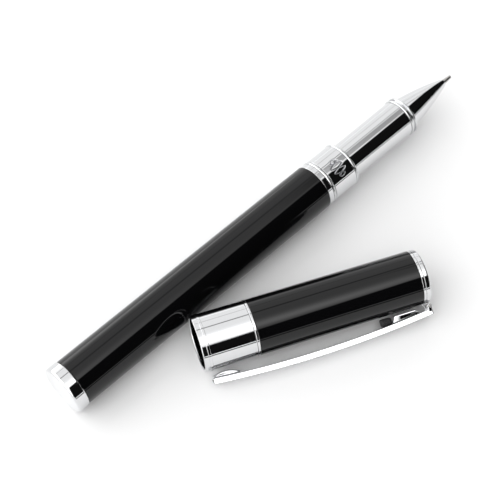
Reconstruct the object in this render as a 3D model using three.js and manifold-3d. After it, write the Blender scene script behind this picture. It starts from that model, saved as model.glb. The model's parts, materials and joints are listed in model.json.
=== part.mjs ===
// Rollerball pen with its cap pulled off and laid beside it.
// Millimetres, +Z up. The cap's axis runs along +X, mouth first; the pen is turned from it about Z.
// Both lie on the plane z = 0, and the origin is under the middle of the whole object.
//
// The pen is built in its own frame: +X from the tail face to the writing tip, axis on y = z = 0.
// The cap is built in its own frame: +X from the mouth to the closed end, clip towards +Z.
import * as THREE from "three";
import { mergeVertices } from "three/addons/utils/BufferGeometryUtils.js";
import Module from "manifold-3d";

const wasm = await Module();
wasm.setup();

// ---------------------------------------------------------------- driving dimensions

// Clearances. A seam is the axial gap between stacked pieces, a press gap the radial one between
// pieces that are pressed or glued together, a running gap the radial one between moving pieces.
const SEAM = 0.05;
const PRESS_GAP = 0.03;
const RUNNING_GAP = 0.07;

// Barrel
const BARREL_LENGTH = 74.2;
const BARREL_RADIUS = 5.75;
const BARREL_WALL = 0.75;
const TRIM_RING_LENGTH = 1.4;
const TRIM_RING_STEP = 0.09; // how far it stays below the barrel's surface

// Tail end
const TAIL_CAP_LENGTH = 3.0;
const TAIL_CAP_PROUD = 0.2;
const TAIL_CAP_ROUND = 0.55;
const TAIL_STUD_RADIUS = 1.6;
const TAIL_STUD_LENGTH = 4.5;
const TAIL_PLUG_LENGTH = 6.5;

// Refill
const REFILL_RADIUS = 3.0;
const REFILL_TUBE_WALL = 0.35;
const REFILL_NOSE_STEP = 0.5; // how much thinner its nose is than its tube
const REFILL_NOSE_CONE = 6.5;
const REFILL_PLUG_LENGTH = 4.0;
const REFILL_AIR_HOLE = 0.5;
const NOSE_PLUG_LENGTH = 6.0;
const TIP_STEM_RADIUS = 1.1;
const TIP_STEM_LENGTH = 3.1;
const TIP_NECK_RADIUS = 0.6;
const TIP_NECK_INSIDE = 3.0; // length of the neck that stays in the nose cone
const TIP_REACH = 2.6;
const TIP_TAPER_LENGTH = 1.7;
const BALL_RADIUS = 0.35;
const BALL_SHOWING = 0.2;
const SOCKET_LIP = 0.06;
const SOCKET_GAP = 0.035;

// Spring behind the refill
const SPRING_LENGTH = 8.0;
const SPRING_RADIUS = 2.2;
const SPRING_WIRE = 0.25;
const SPRING_TURNS = 5;

// Screw joint between barrel and grip section (right-hand thread)
const THREAD_PITCH = 1.0;
const THREAD_DEPTH = 0.3;
const THREAD_LENGTH = 6.4;
const THREAD_LAND = 0.25;
const THREAD_FOOT = 0.6;
const THREAD_GAP = 0.1;
const SLEEVE_PAST_THREAD = 2.2;

// Grip section. Steps are measured down from the surface before them, proud ones up from it.
const CORE_WALL = 0.71;
const CORE_SHOULDER = 0.45; // how far the seat of the rings stands above the thread
const SECTION_RING_LENGTH = 0.75;
const SECTION_RING_PROUD = 0.03;
const CENTRE_BAND_LENGTH = 6.6;
const CENTRE_BAND_STEP = 0.1;
const COLLAR_LENGTH = 0.8;
const COLLAR_STEP = 0.25;
const GRIP_LENGTH = 19.25;
const GRIP_STEP = 0.12;
const GRIP_TAPER = 0.63;
const LIP_RING_LENGTH = 1.7;
const LIP_RING_PROUD = 0.28;
const LIP_GROOVE_DEPTH = 0.4;
const LIP_BEAD = 0.55;

// Nose cone
const CONE_LENGTH = 14.4;
const CONE_SHOULDER = 0.145; // how far its base stands above the grip's bore
const CONE_TIP_WALL = 0.21;
const CONE_BULGE = 0.35;
const CONE_SPIGOT_LENGTH = 5.0;

// Cap
const CAP_SLIDE_GAP = 0.08; // around the section's rings
const CAP_MOUTH_WALL = 0.64;
const CAP_TAPER = 0.14;
const CAP_BAND_LENGTH = 12.3;
const MOUTH_CHAMFER = 0.1;
const CAP_RIM_START = 1.2;
const CAP_RIM_WIDTH = 0.6;
const CAP_RIM_PROUD = 0.1;
const CAP_TRIM_LENGTH = 0.6;
const CAP_TRIM_PROUD = 0.08;
const CAP_DISC_LENGTH = 1.2;
const CAP_DISC_ROUND = 0.45;
const CAP_STUD_RADIUS = 1.5;
const CAP_PLUG_LENGTH = 2.3;
const LINER_GAP = 0.12; // around the grip's collar
const LINER_PAST_LIP = 0.75;
const INNER_CUP_GAP = 0.6; // around the nose cone
const INNER_CUP_FLOOR = 1.0;
const TIP_ROOM = 1.8;
const PEN_CAP_STOP = 1.3; // how far in front of the barrel the capped length starts

// Clip
const CLIP_WIDTH = 3.4;
const CLIP_THICKNESS = 1.5;
const CLIP_START = 1.2;
const CLIP_RISE = 1.3;
const FOOT_GAP = 0.6;
const FOOT_PAD_LENGTH = 6.4;
const FOOT_PAD_DEPTH = 1.1;
const FOOT_PAD_EDGE = 0.25; // share of the depth left at its two ends
const FOOT_PAD_WIDTH = 2.6;
const CHEEK_FROM_TOP = 3.1;
const CHEEK_LENGTH = 6.7;
const CHEEK_SLANT = 0.8;
const CHEEK_WIDTH = 2.4;
const CHEEK_GAP = 0.5;
const BUMPER_LENGTH = 2.4;
const BUMPER_WIDTH = 2.0;

// Clip hinge
const BRACKET_THICKNESS = 0.6;
const LUG_WIDTH = 0.9;
const LUG_RADIUS = 0.52;
const LUG_GAP = 0.1; // from the lug and the fork arms to what they turn past
const FORK_ARM_WIDTH = 0.5;
const HINGE_PIN_RADIUS = 0.28;
const HINGE_SPRING_WIRE = 0.09;
const HINGE_SPRING_TURNS = 2;

// How the two lie
const PEN_YAW = THREE.MathUtils.degToRad(24.4);
const MOUTH_ALONG_PEN = 28.9; // from the tail face, along the pen, to the cap's mouth
const CAP_TO_PEN_GAP = 0.3;

// Faces around a full turn
const ROUND = 32;
const ROUND_INNER = 24;
const ROUND_SMALL = 16;
const WIRE_FACES = 6;

// ---------------------------------------------------------------- radii that follow from them

const barrelBore = BARREL_RADIUS - BARREL_WALL;
const tailCapRadius = BARREL_RADIUS + TAIL_CAP_PROUD;
const trimRingRadius = BARREL_RADIUS - TRIM_RING_STEP;
const sectionRingRadius = BARREL_RADIUS + SECTION_RING_PROUD;
const centreBandRadius = BARREL_RADIUS - CENTRE_BAND_STEP;
const collarRadius = BARREL_RADIUS - COLLAR_STEP;
const gripRearRadius = collarRadius - GRIP_STEP;
const gripFrontRadius = gripRearRadius - GRIP_TAPER;
const lipRingRadius = gripFrontRadius + LIP_RING_PROUD;
const coneTipRadius = TIP_NECK_RADIUS + RUNNING_GAP + CONE_TIP_WALL;

const coreBore = REFILL_RADIUS + 2 * RUNNING_GAP;
const threadCore = coreBore + CORE_WALL;
const threadCrest = threadCore + THREAD_DEPTH;
const frontSeatRadius = threadCore + THREAD_DEPTH / 4;
const gripBore = frontSeatRadius + PRESS_GAP;
const coneBaseRadius = gripBore + CONE_SHOULDER;
const rearSeatRadius = threadCrest + CORE_SHOULDER;
const ringBore = rearSeatRadius + PRESS_GAP;
const refillNoseRadius = REFILL_RADIUS - REFILL_NOSE_STEP;
const spigotBore = refillNoseRadius + 2 * RUNNING_GAP;

const capBore = sectionRingRadius + CAP_SLIDE_GAP;
const capMouthRadius = capBore + CAP_MOUTH_WALL;
const capTopRadius = capMouthRadius - CAP_TAPER;
const linerOuter = capBore - PRESS_GAP;
const linerBore = collarRadius + LINER_GAP;
const innerCupBore = coneBaseRadius + INNER_CUP_GAP;

// ---------------------------------------------------------------- stations along the pen

const barrelStart = TAIL_CAP_LENGTH;
const barrelEnd = barrelStart + BARREL_LENGTH;
const trimStart = barrelEnd + SEAM;
const trimEnd = trimStart + TRIM_RING_LENGTH;
const rearRingStart = trimEnd + SEAM;
const rearRingEnd = rearRingStart + SECTION_RING_LENGTH;
const bandStart = rearRingEnd + SEAM;
const bandEnd = bandStart + CENTRE_BAND_LENGTH;
const frontRingStart = bandEnd + SEAM;
const frontRingEnd = frontRingStart + SECTION_RING_LENGTH;
const gripStart = frontRingEnd + SEAM;
const gripEnd = gripStart + GRIP_LENGTH;
const lipStart = gripEnd + SEAM;
const lipEnd = lipStart + LIP_RING_LENGTH;
const coneStart = lipEnd + SEAM;
const coneEnd = coneStart + CONE_LENGTH;
const tipEnd = coneEnd + TIP_REACH;
const penLength = tipEnd + BALL_SHOWING;

const threadEnd = barrelEnd - SEAM;
const threadStart = threadEnd - THREAD_LENGTH;
const coreEnd = lipEnd - SEAM;

const plugStart = barrelStart + SEAM;
const plugEnd = plugStart + TAIL_PLUG_LENGTH;
const springStart = plugEnd + SEAM;
const springEnd = springStart + SPRING_LENGTH;
const refillStart = springEnd + SEAM;

const spigotStart = coneStart - CONE_SPIGOT_LENGTH;
const refillNoseStart = spigotStart - 2 * SEAM;
const refillTubeEnd = refillNoseStart - SEAM;
const nosePlugStart = refillTubeEnd - NOSE_PLUG_LENGTH;
const tipStemEnd = coneEnd - TIP_NECK_INSIDE;
const tipStemStart = tipStemEnd - TIP_STEM_LENGTH;
const refillNoseEnd = tipStemStart - SEAM;
const refillTaperStart = refillNoseEnd - REFILL_NOSE_CONE;
const ballCentre = penLength - BALL_RADIUS;

// ---------------------------------------------------------------- stations along the cap

const capTrimStart = CAP_BAND_LENGTH + SEAM;
const capTrimEnd = capTrimStart + CAP_TRIM_LENGTH;
const capTubeStart = capTrimEnd + SEAM;

// Depth inside the cap at which each station of the pushed-in pen comes to stand.
const depthInCap = (station) => station - (barrelEnd + PEN_CAP_STOP);
const linerStart = depthInCap(gripStart) + SEAM;
const linerEnd = depthInCap(lipEnd) + LINER_PAST_LIP;
const innerCupStart = linerEnd + SEAM;
const innerCupBottom = depthInCap(penLength) + TIP_ROOM;
const innerCupEnd = innerCupBottom + INNER_CUP_FLOOR;
const capPlugStart = innerCupEnd + SEAM;
const capTubeEnd = capPlugStart + CAP_PLUG_LENGTH;
const bracketStart = capTubeEnd + SEAM;
const bracketEnd = bracketStart + BRACKET_THICKNESS;
const discStart = bracketEnd + SEAM;
const capLength = discStart + CAP_DISC_LENGTH;

// Outer radius of the cap's shell: it narrows evenly from the mouth to the top.
const capRadius = (x) =>
  THREE.MathUtils.lerp(capMouthRadius, capTopRadius, x / capLength);

// Height of the clip's outer face over the cap's axis: a straight rise plus a shallow parabola.
const clipLength = capLength - CLIP_START;
const clipFootHeight =
  capMouthRadius + FOOT_GAP + FOOT_PAD_DEPTH + CLIP_THICKNESS;
const hingePinHeight = capTopRadius + LUG_GAP + LUG_RADIUS;
const clipTopHeight = hingePinHeight + LUG_RADIUS + LUG_GAP + CLIP_THICKNESS;
function clipOuter(x) {
  const t = (x - CLIP_START) / clipLength;
  const chord = THREE.MathUtils.lerp(clipFootHeight, clipTopHeight, t);
  return chord + 4 * CLIP_RISE * t * (1 - t);
}
const clipInner = (x) => clipOuter(x) - CLIP_THICKNESS;
const hingeX = capLength - LUG_RADIUS;

// ---------------------------------------------------------------- materials

function finish(color, roughness, metalness) {
  return new THREE.MeshStandardMaterial({ color, roughness, metalness });
}

const chrome = () => finish(0xd8dadc, 0.08, 1);
const lacquer = () => finish(0x08080a, 0.06, 0);
const brass = () => finish(0xb9974f, 0.3, 1);
const steel = () => finish(0xa9adb0, 0.25, 1);
const blackPlastic = () => finish(0x1a1a1c, 0.45, 0);
const refillPlastic = () => finish(0x2b2d33, 0.35, 0);
const inkFibre = () => finish(0x14161c, 0.8, 0);
const carbide = () => finish(0x6f7377, 0.15, 1);

// ---------------------------------------------------------------- shape helpers

// A closed three.js geometry as a manifold solid with its faces pointing out.
function toSolid(geometry) {
  const bare = geometry.clone();
  bare.deleteAttribute("normal");
  bare.deleteAttribute("uv");
  const merged = mergeVertices(bare, 1e-4);
  const { index } = merged;
  const kept = [];
  for (let i = 0; i < index.count; i += 3) {
    const [a, b, c] = [index.getX(i), index.getX(i + 1), index.getX(i + 2)];
    if (a !== b && b !== c && c !== a) kept.push(a, b, c);
  }
  const build = (triangles) =>
    new wasm.Manifold(
      new wasm.Mesh({
        numProp: 3,
        vertProperties: new Float32Array(merged.attributes.position.array),
        triVerts: new Uint32Array(triangles),
      }),
    );
  const solid = build(kept);
  return solid.volume() > 0 ? solid : build(kept.toReversed());
}

// A manifold solid as a geometry that a mesh can show.
function toGeometry(solid) {
  const { vertProperties, numProp, triVerts } = solid.getMesh();
  const positions = new Float32Array((vertProperties.length / numProp) * 3);
  for (let i = 0; i < positions.length / 3; i++)
    positions.set(vertProperties.subarray(i * numProp, i * numProp + 3), i * 3);
  const geometry = new THREE.BufferGeometry();
  geometry.setAttribute("position", new THREE.BufferAttribute(positions, 3));
  geometry.setIndex(new THREE.BufferAttribute(triVerts, 1));
  geometry.computeVertexNormals();
  return geometry;
}

// A solid of revolution about the X axis from [x, radius] points, which start and end on the axis
// or come back to the first point.
function turned(profile, faces = ROUND) {
  const points = profile.map(([x, radius]) => new THREE.Vector2(radius, x));
  return toSolid(new THREE.LatheGeometry(points, faces).rotateZ(-Math.PI / 2));
}

// A plain ring or tube about the X axis.
function ring(start, end, outer, inner, faces = ROUND) {
  return turned(
    [
      [start, inner],
      [start, outer],
      [end, outer],
      [end, inner],
      [start, inner],
    ],
    faces,
  );
}

// A plain rod about the X axis.
function rod(start, end, radius, faces = ROUND) {
  return turned(
    [
      [start, 0],
      [start, radius],
      [end, radius],
      [end, 0],
    ],
    faces,
  );
}

// Points of a quarter-round edge from angle a to angle b around (x, radius).
function roundedEdge(x, radius, size, a, b, steps = 4) {
  return Array.from({ length: steps + 1 }, (_, i) => {
    const angle = THREE.MathUtils.lerp(a, b, i / steps);
    return [x + size * Math.cos(angle), radius + size * Math.sin(angle)];
  });
}

// A bar wound on a right-hand helix about the X axis. The profile lists [axial offset, radius]
// points, and each step copies it on by one small turn.
function helicalBar(profile, start, pitch, turns, stepsPerTurn) {
  const steps = Math.round(turns * stepsPerTurn);
  const count = profile.length;
  const positions = [];
  for (let step = 0; step <= steps; step++) {
    const angle = (step / stepsPerTurn) * 2 * Math.PI;
    const along = start + (step / stepsPerTurn) * pitch;
    for (const [offset, radius] of profile)
      positions.push(
        along + offset,
        radius * Math.cos(angle),
        radius * Math.sin(angle),
      );
  }
  const index = [];
  for (let step = 0; step < steps; step++)
    for (let i = 0; i < count; i++) {
      const j = (i + 1) % count;
      const [a, b] = [step * count + i, step * count + j];
      index.push(a, b, a + count, b, b + count, a + count);
    }
  for (let i = 1; i < count - 1; i++) {
    const last = steps * count;
    index.push(0, i + 1, i, last, last + i, last + i + 1);
  }
  const geometry = new THREE.BufferGeometry();
  geometry.setAttribute(
    "position",
    new THREE.Float32BufferAttribute(positions, 3),
  );
  geometry.setIndex(index);
  return toSolid(geometry);
}

// The [axial offset, radius] points of a round wire wound at the given radius.
function wireProfile(radius, wire) {
  return Array.from({ length: WIRE_FACES }, (_, i) => {
    const angle = (i / WIRE_FACES) * 2 * Math.PI;
    return [wire * Math.cos(angle), radius + wire * Math.sin(angle)];
  });
}

// A side outline of [x, z] points given thickness along Y, centred on y.
function sideExtrusion(outline, width, y = 0) {
  const shape = new THREE.Shape(
    outline.map(([x, z]) => new THREE.Vector2(x, z)),
  );
  const geometry = new THREE.ExtrudeGeometry(shape, {
    depth: width,
    bevelEnabled: false,
    steps: 1,
  });
  geometry.rotateX(Math.PI / 2);
  return toSolid(geometry.translate(0, y + width / 2, 0));
}

// A cylinder across the cap, along Y.
function crossPin(x, z, radius, width, y = 0) {
  const geometry = new THREE.CylinderGeometry(
    radius,
    radius,
    width,
    ROUND_SMALL,
  );
  return toSolid(geometry.translate(x, y, z));
}

function piece(name, solid, material) {
  const mesh = new THREE.Mesh(toGeometry(solid), material);
  mesh.name = name;
  return mesh;
}

// ---------------------------------------------------------------- barrel and tail

function tailCap() {
  const studEnd = TAIL_CAP_LENGTH - SEAM + TAIL_STUD_LENGTH;
  const head = TAIL_CAP_LENGTH - SEAM;
  const edge = tailCapRadius - TAIL_CAP_ROUND;
  return turned([
    [0, 0],
    ...roundedEdge(TAIL_CAP_ROUND, edge, TAIL_CAP_ROUND, Math.PI, Math.PI / 2),
    ...roundedEdge(
      head - TAIL_CAP_ROUND / 2,
      tailCapRadius - TAIL_CAP_ROUND / 2,
      TAIL_CAP_ROUND / 2,
      Math.PI / 2,
      0,
      3,
    ),
    [head, TAIL_STUD_RADIUS],
    [studEnd, TAIL_STUD_RADIUS],
    [studEnd, 0],
  ]);
}

function tailPlug() {
  const body = barrelBore - PRESS_GAP;
  const bore = TAIL_STUD_RADIUS + PRESS_GAP;
  return ring(plugStart, plugEnd, body, bore);
}

function barrelTube() {
  return ring(barrelStart, barrelEnd, BARREL_RADIUS, barrelBore);
}

function barrelTrimRing() {
  const bore = threadCrest + RUNNING_GAP;
  return ring(trimStart, trimEnd, trimRingRadius, bore);
}

// Trapezium of the thread ridge, grown all round by the given gap.
function threadProfile(gap) {
  const foot = THREAD_FOOT / 2 + gap;
  const land = THREAD_LAND / 2 + gap;
  const buried = threadCore - THREAD_DEPTH / 2;
  return [
    [-foot, buried],
    [-foot, threadCore],
    [-land, threadCrest + gap],
    [land, threadCrest + gap],
    [foot, threadCore],
    [foot, buried],
  ];
}

const ridgeStart = threadStart + THREAD_FOOT;
const ridgeTurns = (THREAD_LENGTH - 2 * THREAD_FOOT) / THREAD_PITCH;

// The ridge's own helix, carried on by whole turns at each end, cuts the sleeve's groove.
function threadSleeve() {
  const start = threadStart - SLEEVE_PAST_THREAD;
  const sleeve = ring(
    start,
    barrelEnd,
    barrelBore - PRESS_GAP,
    threadCore + THREAD_GAP,
    ROUND_INNER,
  );
  const turnsBehind = Math.ceil((ridgeStart - start) / THREAD_PITCH) + 1;
  const turnsAhead = Math.ceil((barrelEnd - ridgeStart) / THREAD_PITCH) + 1;
  const groove = helicalBar(
    threadProfile(THREAD_GAP),
    ridgeStart - turnsBehind * THREAD_PITCH,
    THREAD_PITCH,
    turnsBehind + turnsAhead,
    ROUND_INNER,
  );
  return sleeve.subtract(groove);
}

function refillSpring() {
  const wound = SPRING_LENGTH - 2 * SPRING_WIRE;
  return helicalBar(
    wireProfile(SPRING_RADIUS, SPRING_WIRE),
    springStart + SPRING_WIRE,
    wound / SPRING_TURNS,
    SPRING_TURNS,
    ROUND_SMALL,
  );
}

// ---------------------------------------------------------------- grip section

// The brass tube inside the section: threaded stub, seat for the rings and band, seat for the grip.
function sectionCore() {
  const gripSeat = gripStart + COLLAR_LENGTH;
  const tube = turned(
    [
      [threadStart, coreBore],
      [threadStart, threadCore],
      [rearRingStart, threadCore],
      [rearRingStart, rearSeatRadius],
      [gripSeat, rearSeatRadius],
      [gripSeat, frontSeatRadius],
      [coreEnd, frontSeatRadius],
      [coreEnd, coreBore],
      [threadStart, coreBore],
    ],
    ROUND_INNER,
  );
  const ridge = helicalBar(
    threadProfile(0),
    ridgeStart,
    THREAD_PITCH,
    ridgeTurns,
    ROUND_INNER,
  );
  return tube.add(ridge);
}

// A raised ring with a rounded crown.
function sectionRing(start) {
  const half = SECTION_RING_LENGTH / 2;
  return turned([
    [start, ringBore],
    ...roundedEdge(
      start + half,
      sectionRingRadius - half,
      half,
      Math.PI,
      0,
    ),
    [start + SECTION_RING_LENGTH, ringBore],
    [start, ringBore],
  ]);
}

function centreBand() {
  return ring(bandStart, bandEnd, centreBandRadius, ringBore);
}

function gripShell() {
  const collarEnd = gripStart + COLLAR_LENGTH;
  const bore = gripBore;
  return turned([
    [gripStart, ringBore],
    [gripStart, collarRadius],
    [collarEnd, collarRadius],
    [collarEnd, gripRearRadius],
    [gripEnd, gripFrontRadius],
    [gripEnd, bore],
    [collarEnd + SEAM, bore],
    [collarEnd + SEAM, ringBore],
    [gripStart, ringBore],
  ]);
}

function lipRing() {
  const beadRadius = LIP_BEAD / 2;
  const crest = lipRingRadius - beadRadius;
  const valley = lipRingRadius - LIP_GROOVE_DEPTH;
  return turned([
    [lipStart, gripBore],
    ...roundedEdge(lipStart + beadRadius, crest, beadRadius, Math.PI, 0, 3),
    [lipStart + LIP_BEAD, valley],
    [lipEnd - LIP_BEAD, valley],
    ...roundedEdge(lipEnd - beadRadius, crest, beadRadius, Math.PI, 0, 3),
    [lipEnd, gripBore],
    [lipStart, gripBore],
  ]);
}

// Outer radius of the nose cone, at share t of its length: a straight cone, slightly swollen.
function coneRadius(t) {
  return (
    THREE.MathUtils.lerp(coneBaseRadius, coneTipRadius, t) +
    4 * CONE_BULGE * t * (1 - t)
  );
}

function noseCone() {
  const steps = 5;
  const outline = Array.from({ length: steps + 1 }, (_, i) => {
    const t = i / steps;
    return [coneStart + t * CONE_LENGTH, coneRadius(t)];
  });
  const neck = TIP_NECK_RADIUS + RUNNING_GAP;
  const stem = TIP_STEM_RADIUS + 2 * RUNNING_GAP;
  const stemEnd = tipStemEnd + 2 * SEAM;
  return turned([
    [spigotStart, spigotBore],
    [spigotStart, coreBore - PRESS_GAP],
    [coneStart, coreBore - PRESS_GAP],
    ...outline,
    [coneEnd, neck],
    [stemEnd, neck],
    [stemEnd, stem],
    [refillNoseEnd + 2 * SEAM, stem],
    [refillTaperStart + 2 * SEAM, spigotBore],
    [spigotStart, spigotBore],
  ]);
}

// ---------------------------------------------------------------- refill

function refillTube() {
  return ring(
    refillStart,
    refillTubeEnd,
    REFILL_RADIUS,
    REFILL_RADIUS - REFILL_TUBE_WALL,
    ROUND_INNER,
  );
}

const tubeFill = REFILL_RADIUS - REFILL_TUBE_WALL - PRESS_GAP;

function refillRearPlug() {
  return ring(
    refillStart,
    refillStart + REFILL_PLUG_LENGTH,
    tubeFill,
    REFILL_AIR_HOLE,
    ROUND_INNER,
  );
}

function inkReservoir() {
  const start = refillStart + REFILL_PLUG_LENGTH + SEAM;
  return rod(start, nosePlugStart - SEAM, tubeFill, ROUND_INNER);
}

function refillNose() {
  return turned(
    [
      [nosePlugStart, 0],
      [nosePlugStart, tubeFill],
      [refillNoseStart, tubeFill],
      [refillNoseStart, refillNoseRadius],
      [refillTaperStart, refillNoseRadius],
      [refillNoseEnd, TIP_STEM_RADIUS],
      [refillNoseEnd, 0],
    ],
    ROUND_INNER,
  );
}

function tipHolder() {
  const body = turned(
    [
      [tipStemStart, 0],
      [tipStemStart, TIP_STEM_RADIUS],
      [tipStemEnd, TIP_STEM_RADIUS],
      [tipStemEnd, TIP_NECK_RADIUS],
      [tipEnd - TIP_TAPER_LENGTH, TIP_NECK_RADIUS],
      [tipEnd, BALL_RADIUS + SOCKET_LIP],
      [tipEnd, 0],
    ],
    ROUND_SMALL,
  );
  const socket = new THREE.SphereGeometry(
    BALL_RADIUS + SOCKET_GAP,
    ROUND_SMALL,
    ROUND_SMALL / 2,
  );
  return body.subtract(toSolid(socket.translate(ballCentre, 0, 0)));
}

function writingBall() {
  const ball = new THREE.SphereGeometry(
    BALL_RADIUS,
    ROUND_SMALL,
    ROUND_SMALL / 2,
  );
  return toSolid(ball.translate(ballCentre, 0, 0));
}

// ---------------------------------------------------------------- cap

function capMouthBand() {
  const rimEnd = CAP_RIM_START + CAP_RIM_WIDTH;
  const rim = capRadius(CAP_RIM_START) + CAP_RIM_PROUD;
  return turned([
    [0, capBore],
    [0, capRadius(0) - MOUTH_CHAMFER],
    [MOUTH_CHAMFER, capRadius(0)],
    [CAP_RIM_START, capRadius(CAP_RIM_START)],
    [CAP_RIM_START, rim],
    [rimEnd, rim],
    [rimEnd, capRadius(rimEnd)],
    [CAP_BAND_LENGTH, capRadius(CAP_BAND_LENGTH)],
    [CAP_BAND_LENGTH, capBore],
    [0, capBore],
  ]);
}

function capTrimRing() {
  const outer = capRadius(capTrimStart) + CAP_TRIM_PROUD;
  return ring(capTrimStart, capTrimEnd, outer, capBore);
}

function capTube() {
  return turned([
    [capTubeStart, capBore],
    [capTubeStart, capRadius(capTubeStart)],
    [capTubeEnd, capRadius(capTubeEnd)],
    [capTubeEnd, capBore],
    [capTubeStart, capBore],
  ]);
}

function capLiner() {
  return ring(linerStart, linerEnd, linerOuter, linerBore);
}

function capInnerCup() {
  return turned([
    [innerCupStart, innerCupBore],
    [innerCupStart, linerOuter],
    [innerCupEnd, linerOuter],
    [innerCupEnd, 0],
    [innerCupBottom, 0],
    [innerCupBottom, innerCupBore],
    [innerCupStart, innerCupBore],
  ]);
}

const studBore = CAP_STUD_RADIUS + PRESS_GAP;

function capEndPlug() {
  return ring(capPlugStart, capTubeEnd, linerOuter, studBore);
}

function capEndDisc() {
  const radius = capRadius(capLength);
  return turned([
    [capPlugStart + SEAM, 0],
    [capPlugStart + SEAM, CAP_STUD_RADIUS],
    [discStart, CAP_STUD_RADIUS],
    [discStart, radius],
    ...roundedEdge(
      capLength - CAP_DISC_ROUND,
      radius - CAP_DISC_ROUND,
      CAP_DISC_ROUND,
      Math.PI / 2,
      0,
    ),
    [capLength, 0],
  ]);
}

// ---------------------------------------------------------------- clip and its hinge

// A washer clamped under the end disc, with a lug that carries the hinge pin.
function clipBracket() {
  const outer = capRadius(bracketEnd);
  const washer = ring(bracketStart, bracketEnd, outer, studBore);
  const lugFoot = capRadius(capLength) + 2 * RUNNING_GAP;
  const neck = sideExtrusion(
    [
      [bracketStart, outer - BRACKET_THICKNESS],
      [bracketEnd, outer - BRACKET_THICKNESS],
      [bracketEnd, lugFoot],
      [hingeX + LUG_RADIUS, lugFoot],
      [hingeX + LUG_RADIUS, hingePinHeight],
      [bracketStart, hingePinHeight],
    ],
    LUG_WIDTH,
  );
  const eye = crossPin(hingeX, hingePinHeight, LUG_RADIUS, LUG_WIDTH);
  const hole = crossPin(
    hingeX,
    hingePinHeight,
    HINGE_PIN_RADIUS + PRESS_GAP,
    LUG_WIDTH + 1,
  );
  return washer.add(neck).add(eye).subtract(hole);
}

function hingePin() {
  return crossPin(hingeX, hingePinHeight, HINGE_PIN_RADIUS, CLIP_WIDTH);
}

// The bar with the two fork arms that hold it on the pin.
function clipBar() {
  const steps = 24;
  const stations = Array.from(
    { length: steps + 1 },
    (_, i) => CLIP_START + (i / steps) * clipLength,
  );
  const bar = sideExtrusion(
    [
      ...stations.map((x) => [x, clipOuter(x)]),
      ...stations.toReversed().map((x) => [x, clipInner(x)]),
    ],
    CLIP_WIDTH,
  );
  const armAt = (CLIP_WIDTH - FORK_ARM_WIDTH) / 2;
  const arms = [-armAt, armAt].map((y) =>
    sideExtrusion(
      [
        [hingeX - LUG_RADIUS, hingePinHeight],
        [hingeX + LUG_RADIUS, hingePinHeight],
        [capLength, clipInner(capLength) + CLIP_THICKNESS / 2],
        [hingeX - LUG_RADIUS, clipInner(hingeX) + CLIP_THICKNESS / 2],
      ],
      FORK_ARM_WIDTH,
      y,
    ).add(crossPin(hingeX, hingePinHeight, LUG_RADIUS, FORK_ARM_WIDTH, y)),
  );
  const hole = crossPin(
    hingeX,
    hingePinHeight,
    HINGE_PIN_RADIUS + RUNNING_GAP,
    CLIP_WIDTH + 1,
  );
  return bar.add(arms[0]).add(arms[1]).subtract(hole);
}

// A lens under the clip's free end, which grips the pocket.
function clipFootPad() {
  const steps = 8;
  const stations = Array.from(
    { length: steps + 1 },
    (_, i) => CLIP_START + SEAM + (i / steps) * FOOT_PAD_LENGTH,
  );
  const top = (x) => clipInner(x) - SEAM;
  const bottom = stations.map((x, i) => {
    const t = i / steps;
    const lens = THREE.MathUtils.lerp(FOOT_PAD_EDGE, 1, 4 * t * (1 - t));
    return [x, top(x) - FOOT_PAD_DEPTH * lens];
  });
  return sideExtrusion(
    [...bottom, ...stations.toReversed().map((x) => [x, top(x)])],
    FOOT_PAD_WIDTH,
  );
}

const cheekEnd = capLength - CHEEK_FROM_TOP;
const cheekStart = cheekEnd - CHEEK_LENGTH;
const overTube = (x) => capRadius(x) + CHEEK_GAP;

// The block under the clip's root that keeps it off the lacquer.
function clipCheek() {
  return sideExtrusion(
    [
      [cheekStart, clipInner(cheekStart) - SEAM],
      [cheekStart + CHEEK_SLANT, overTube(cheekStart)],
      [cheekEnd - CHEEK_SLANT, overTube(cheekEnd)],
      [cheekEnd, clipInner(cheekEnd) - SEAM],
    ],
    CHEEK_WIDTH,
  );
}

// A soft bumper just in front of the cheek.
function clipBumper() {
  const end = cheekStart - SEAM;
  const start = end - BUMPER_LENGTH;
  return sideExtrusion(
    [
      [start, clipInner(start) - SEAM],
      [start, overTube(start)],
      [end, overTube(end)],
      [end, clipInner(end) - SEAM],
    ],
    BUMPER_WIDTH,
  );
}

// Coils on the hinge pin, between the lug and one fork arm.
function hingeSpring() {
  const room = (CLIP_WIDTH - LUG_WIDTH) / 2 - FORK_ARM_WIDTH - 2 * SEAM;
  const wound = room - 2 * HINGE_SPRING_WIRE;
  const coilRadius = HINGE_PIN_RADIUS + HINGE_SPRING_WIRE + PRESS_GAP;
  const coil = helicalBar(
    wireProfile(coilRadius, HINGE_SPRING_WIRE),
    LUG_WIDTH / 2 + SEAM + HINGE_SPRING_WIRE,
    wound / HINGE_SPRING_TURNS,
    HINGE_SPRING_TURNS,
    ROUND_SMALL,
  );
  return coil.rotate([0, 0, 90]).translate([hingeX, 0, hingePinHeight]);
}

// ---------------------------------------------------------------- assembly

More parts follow.
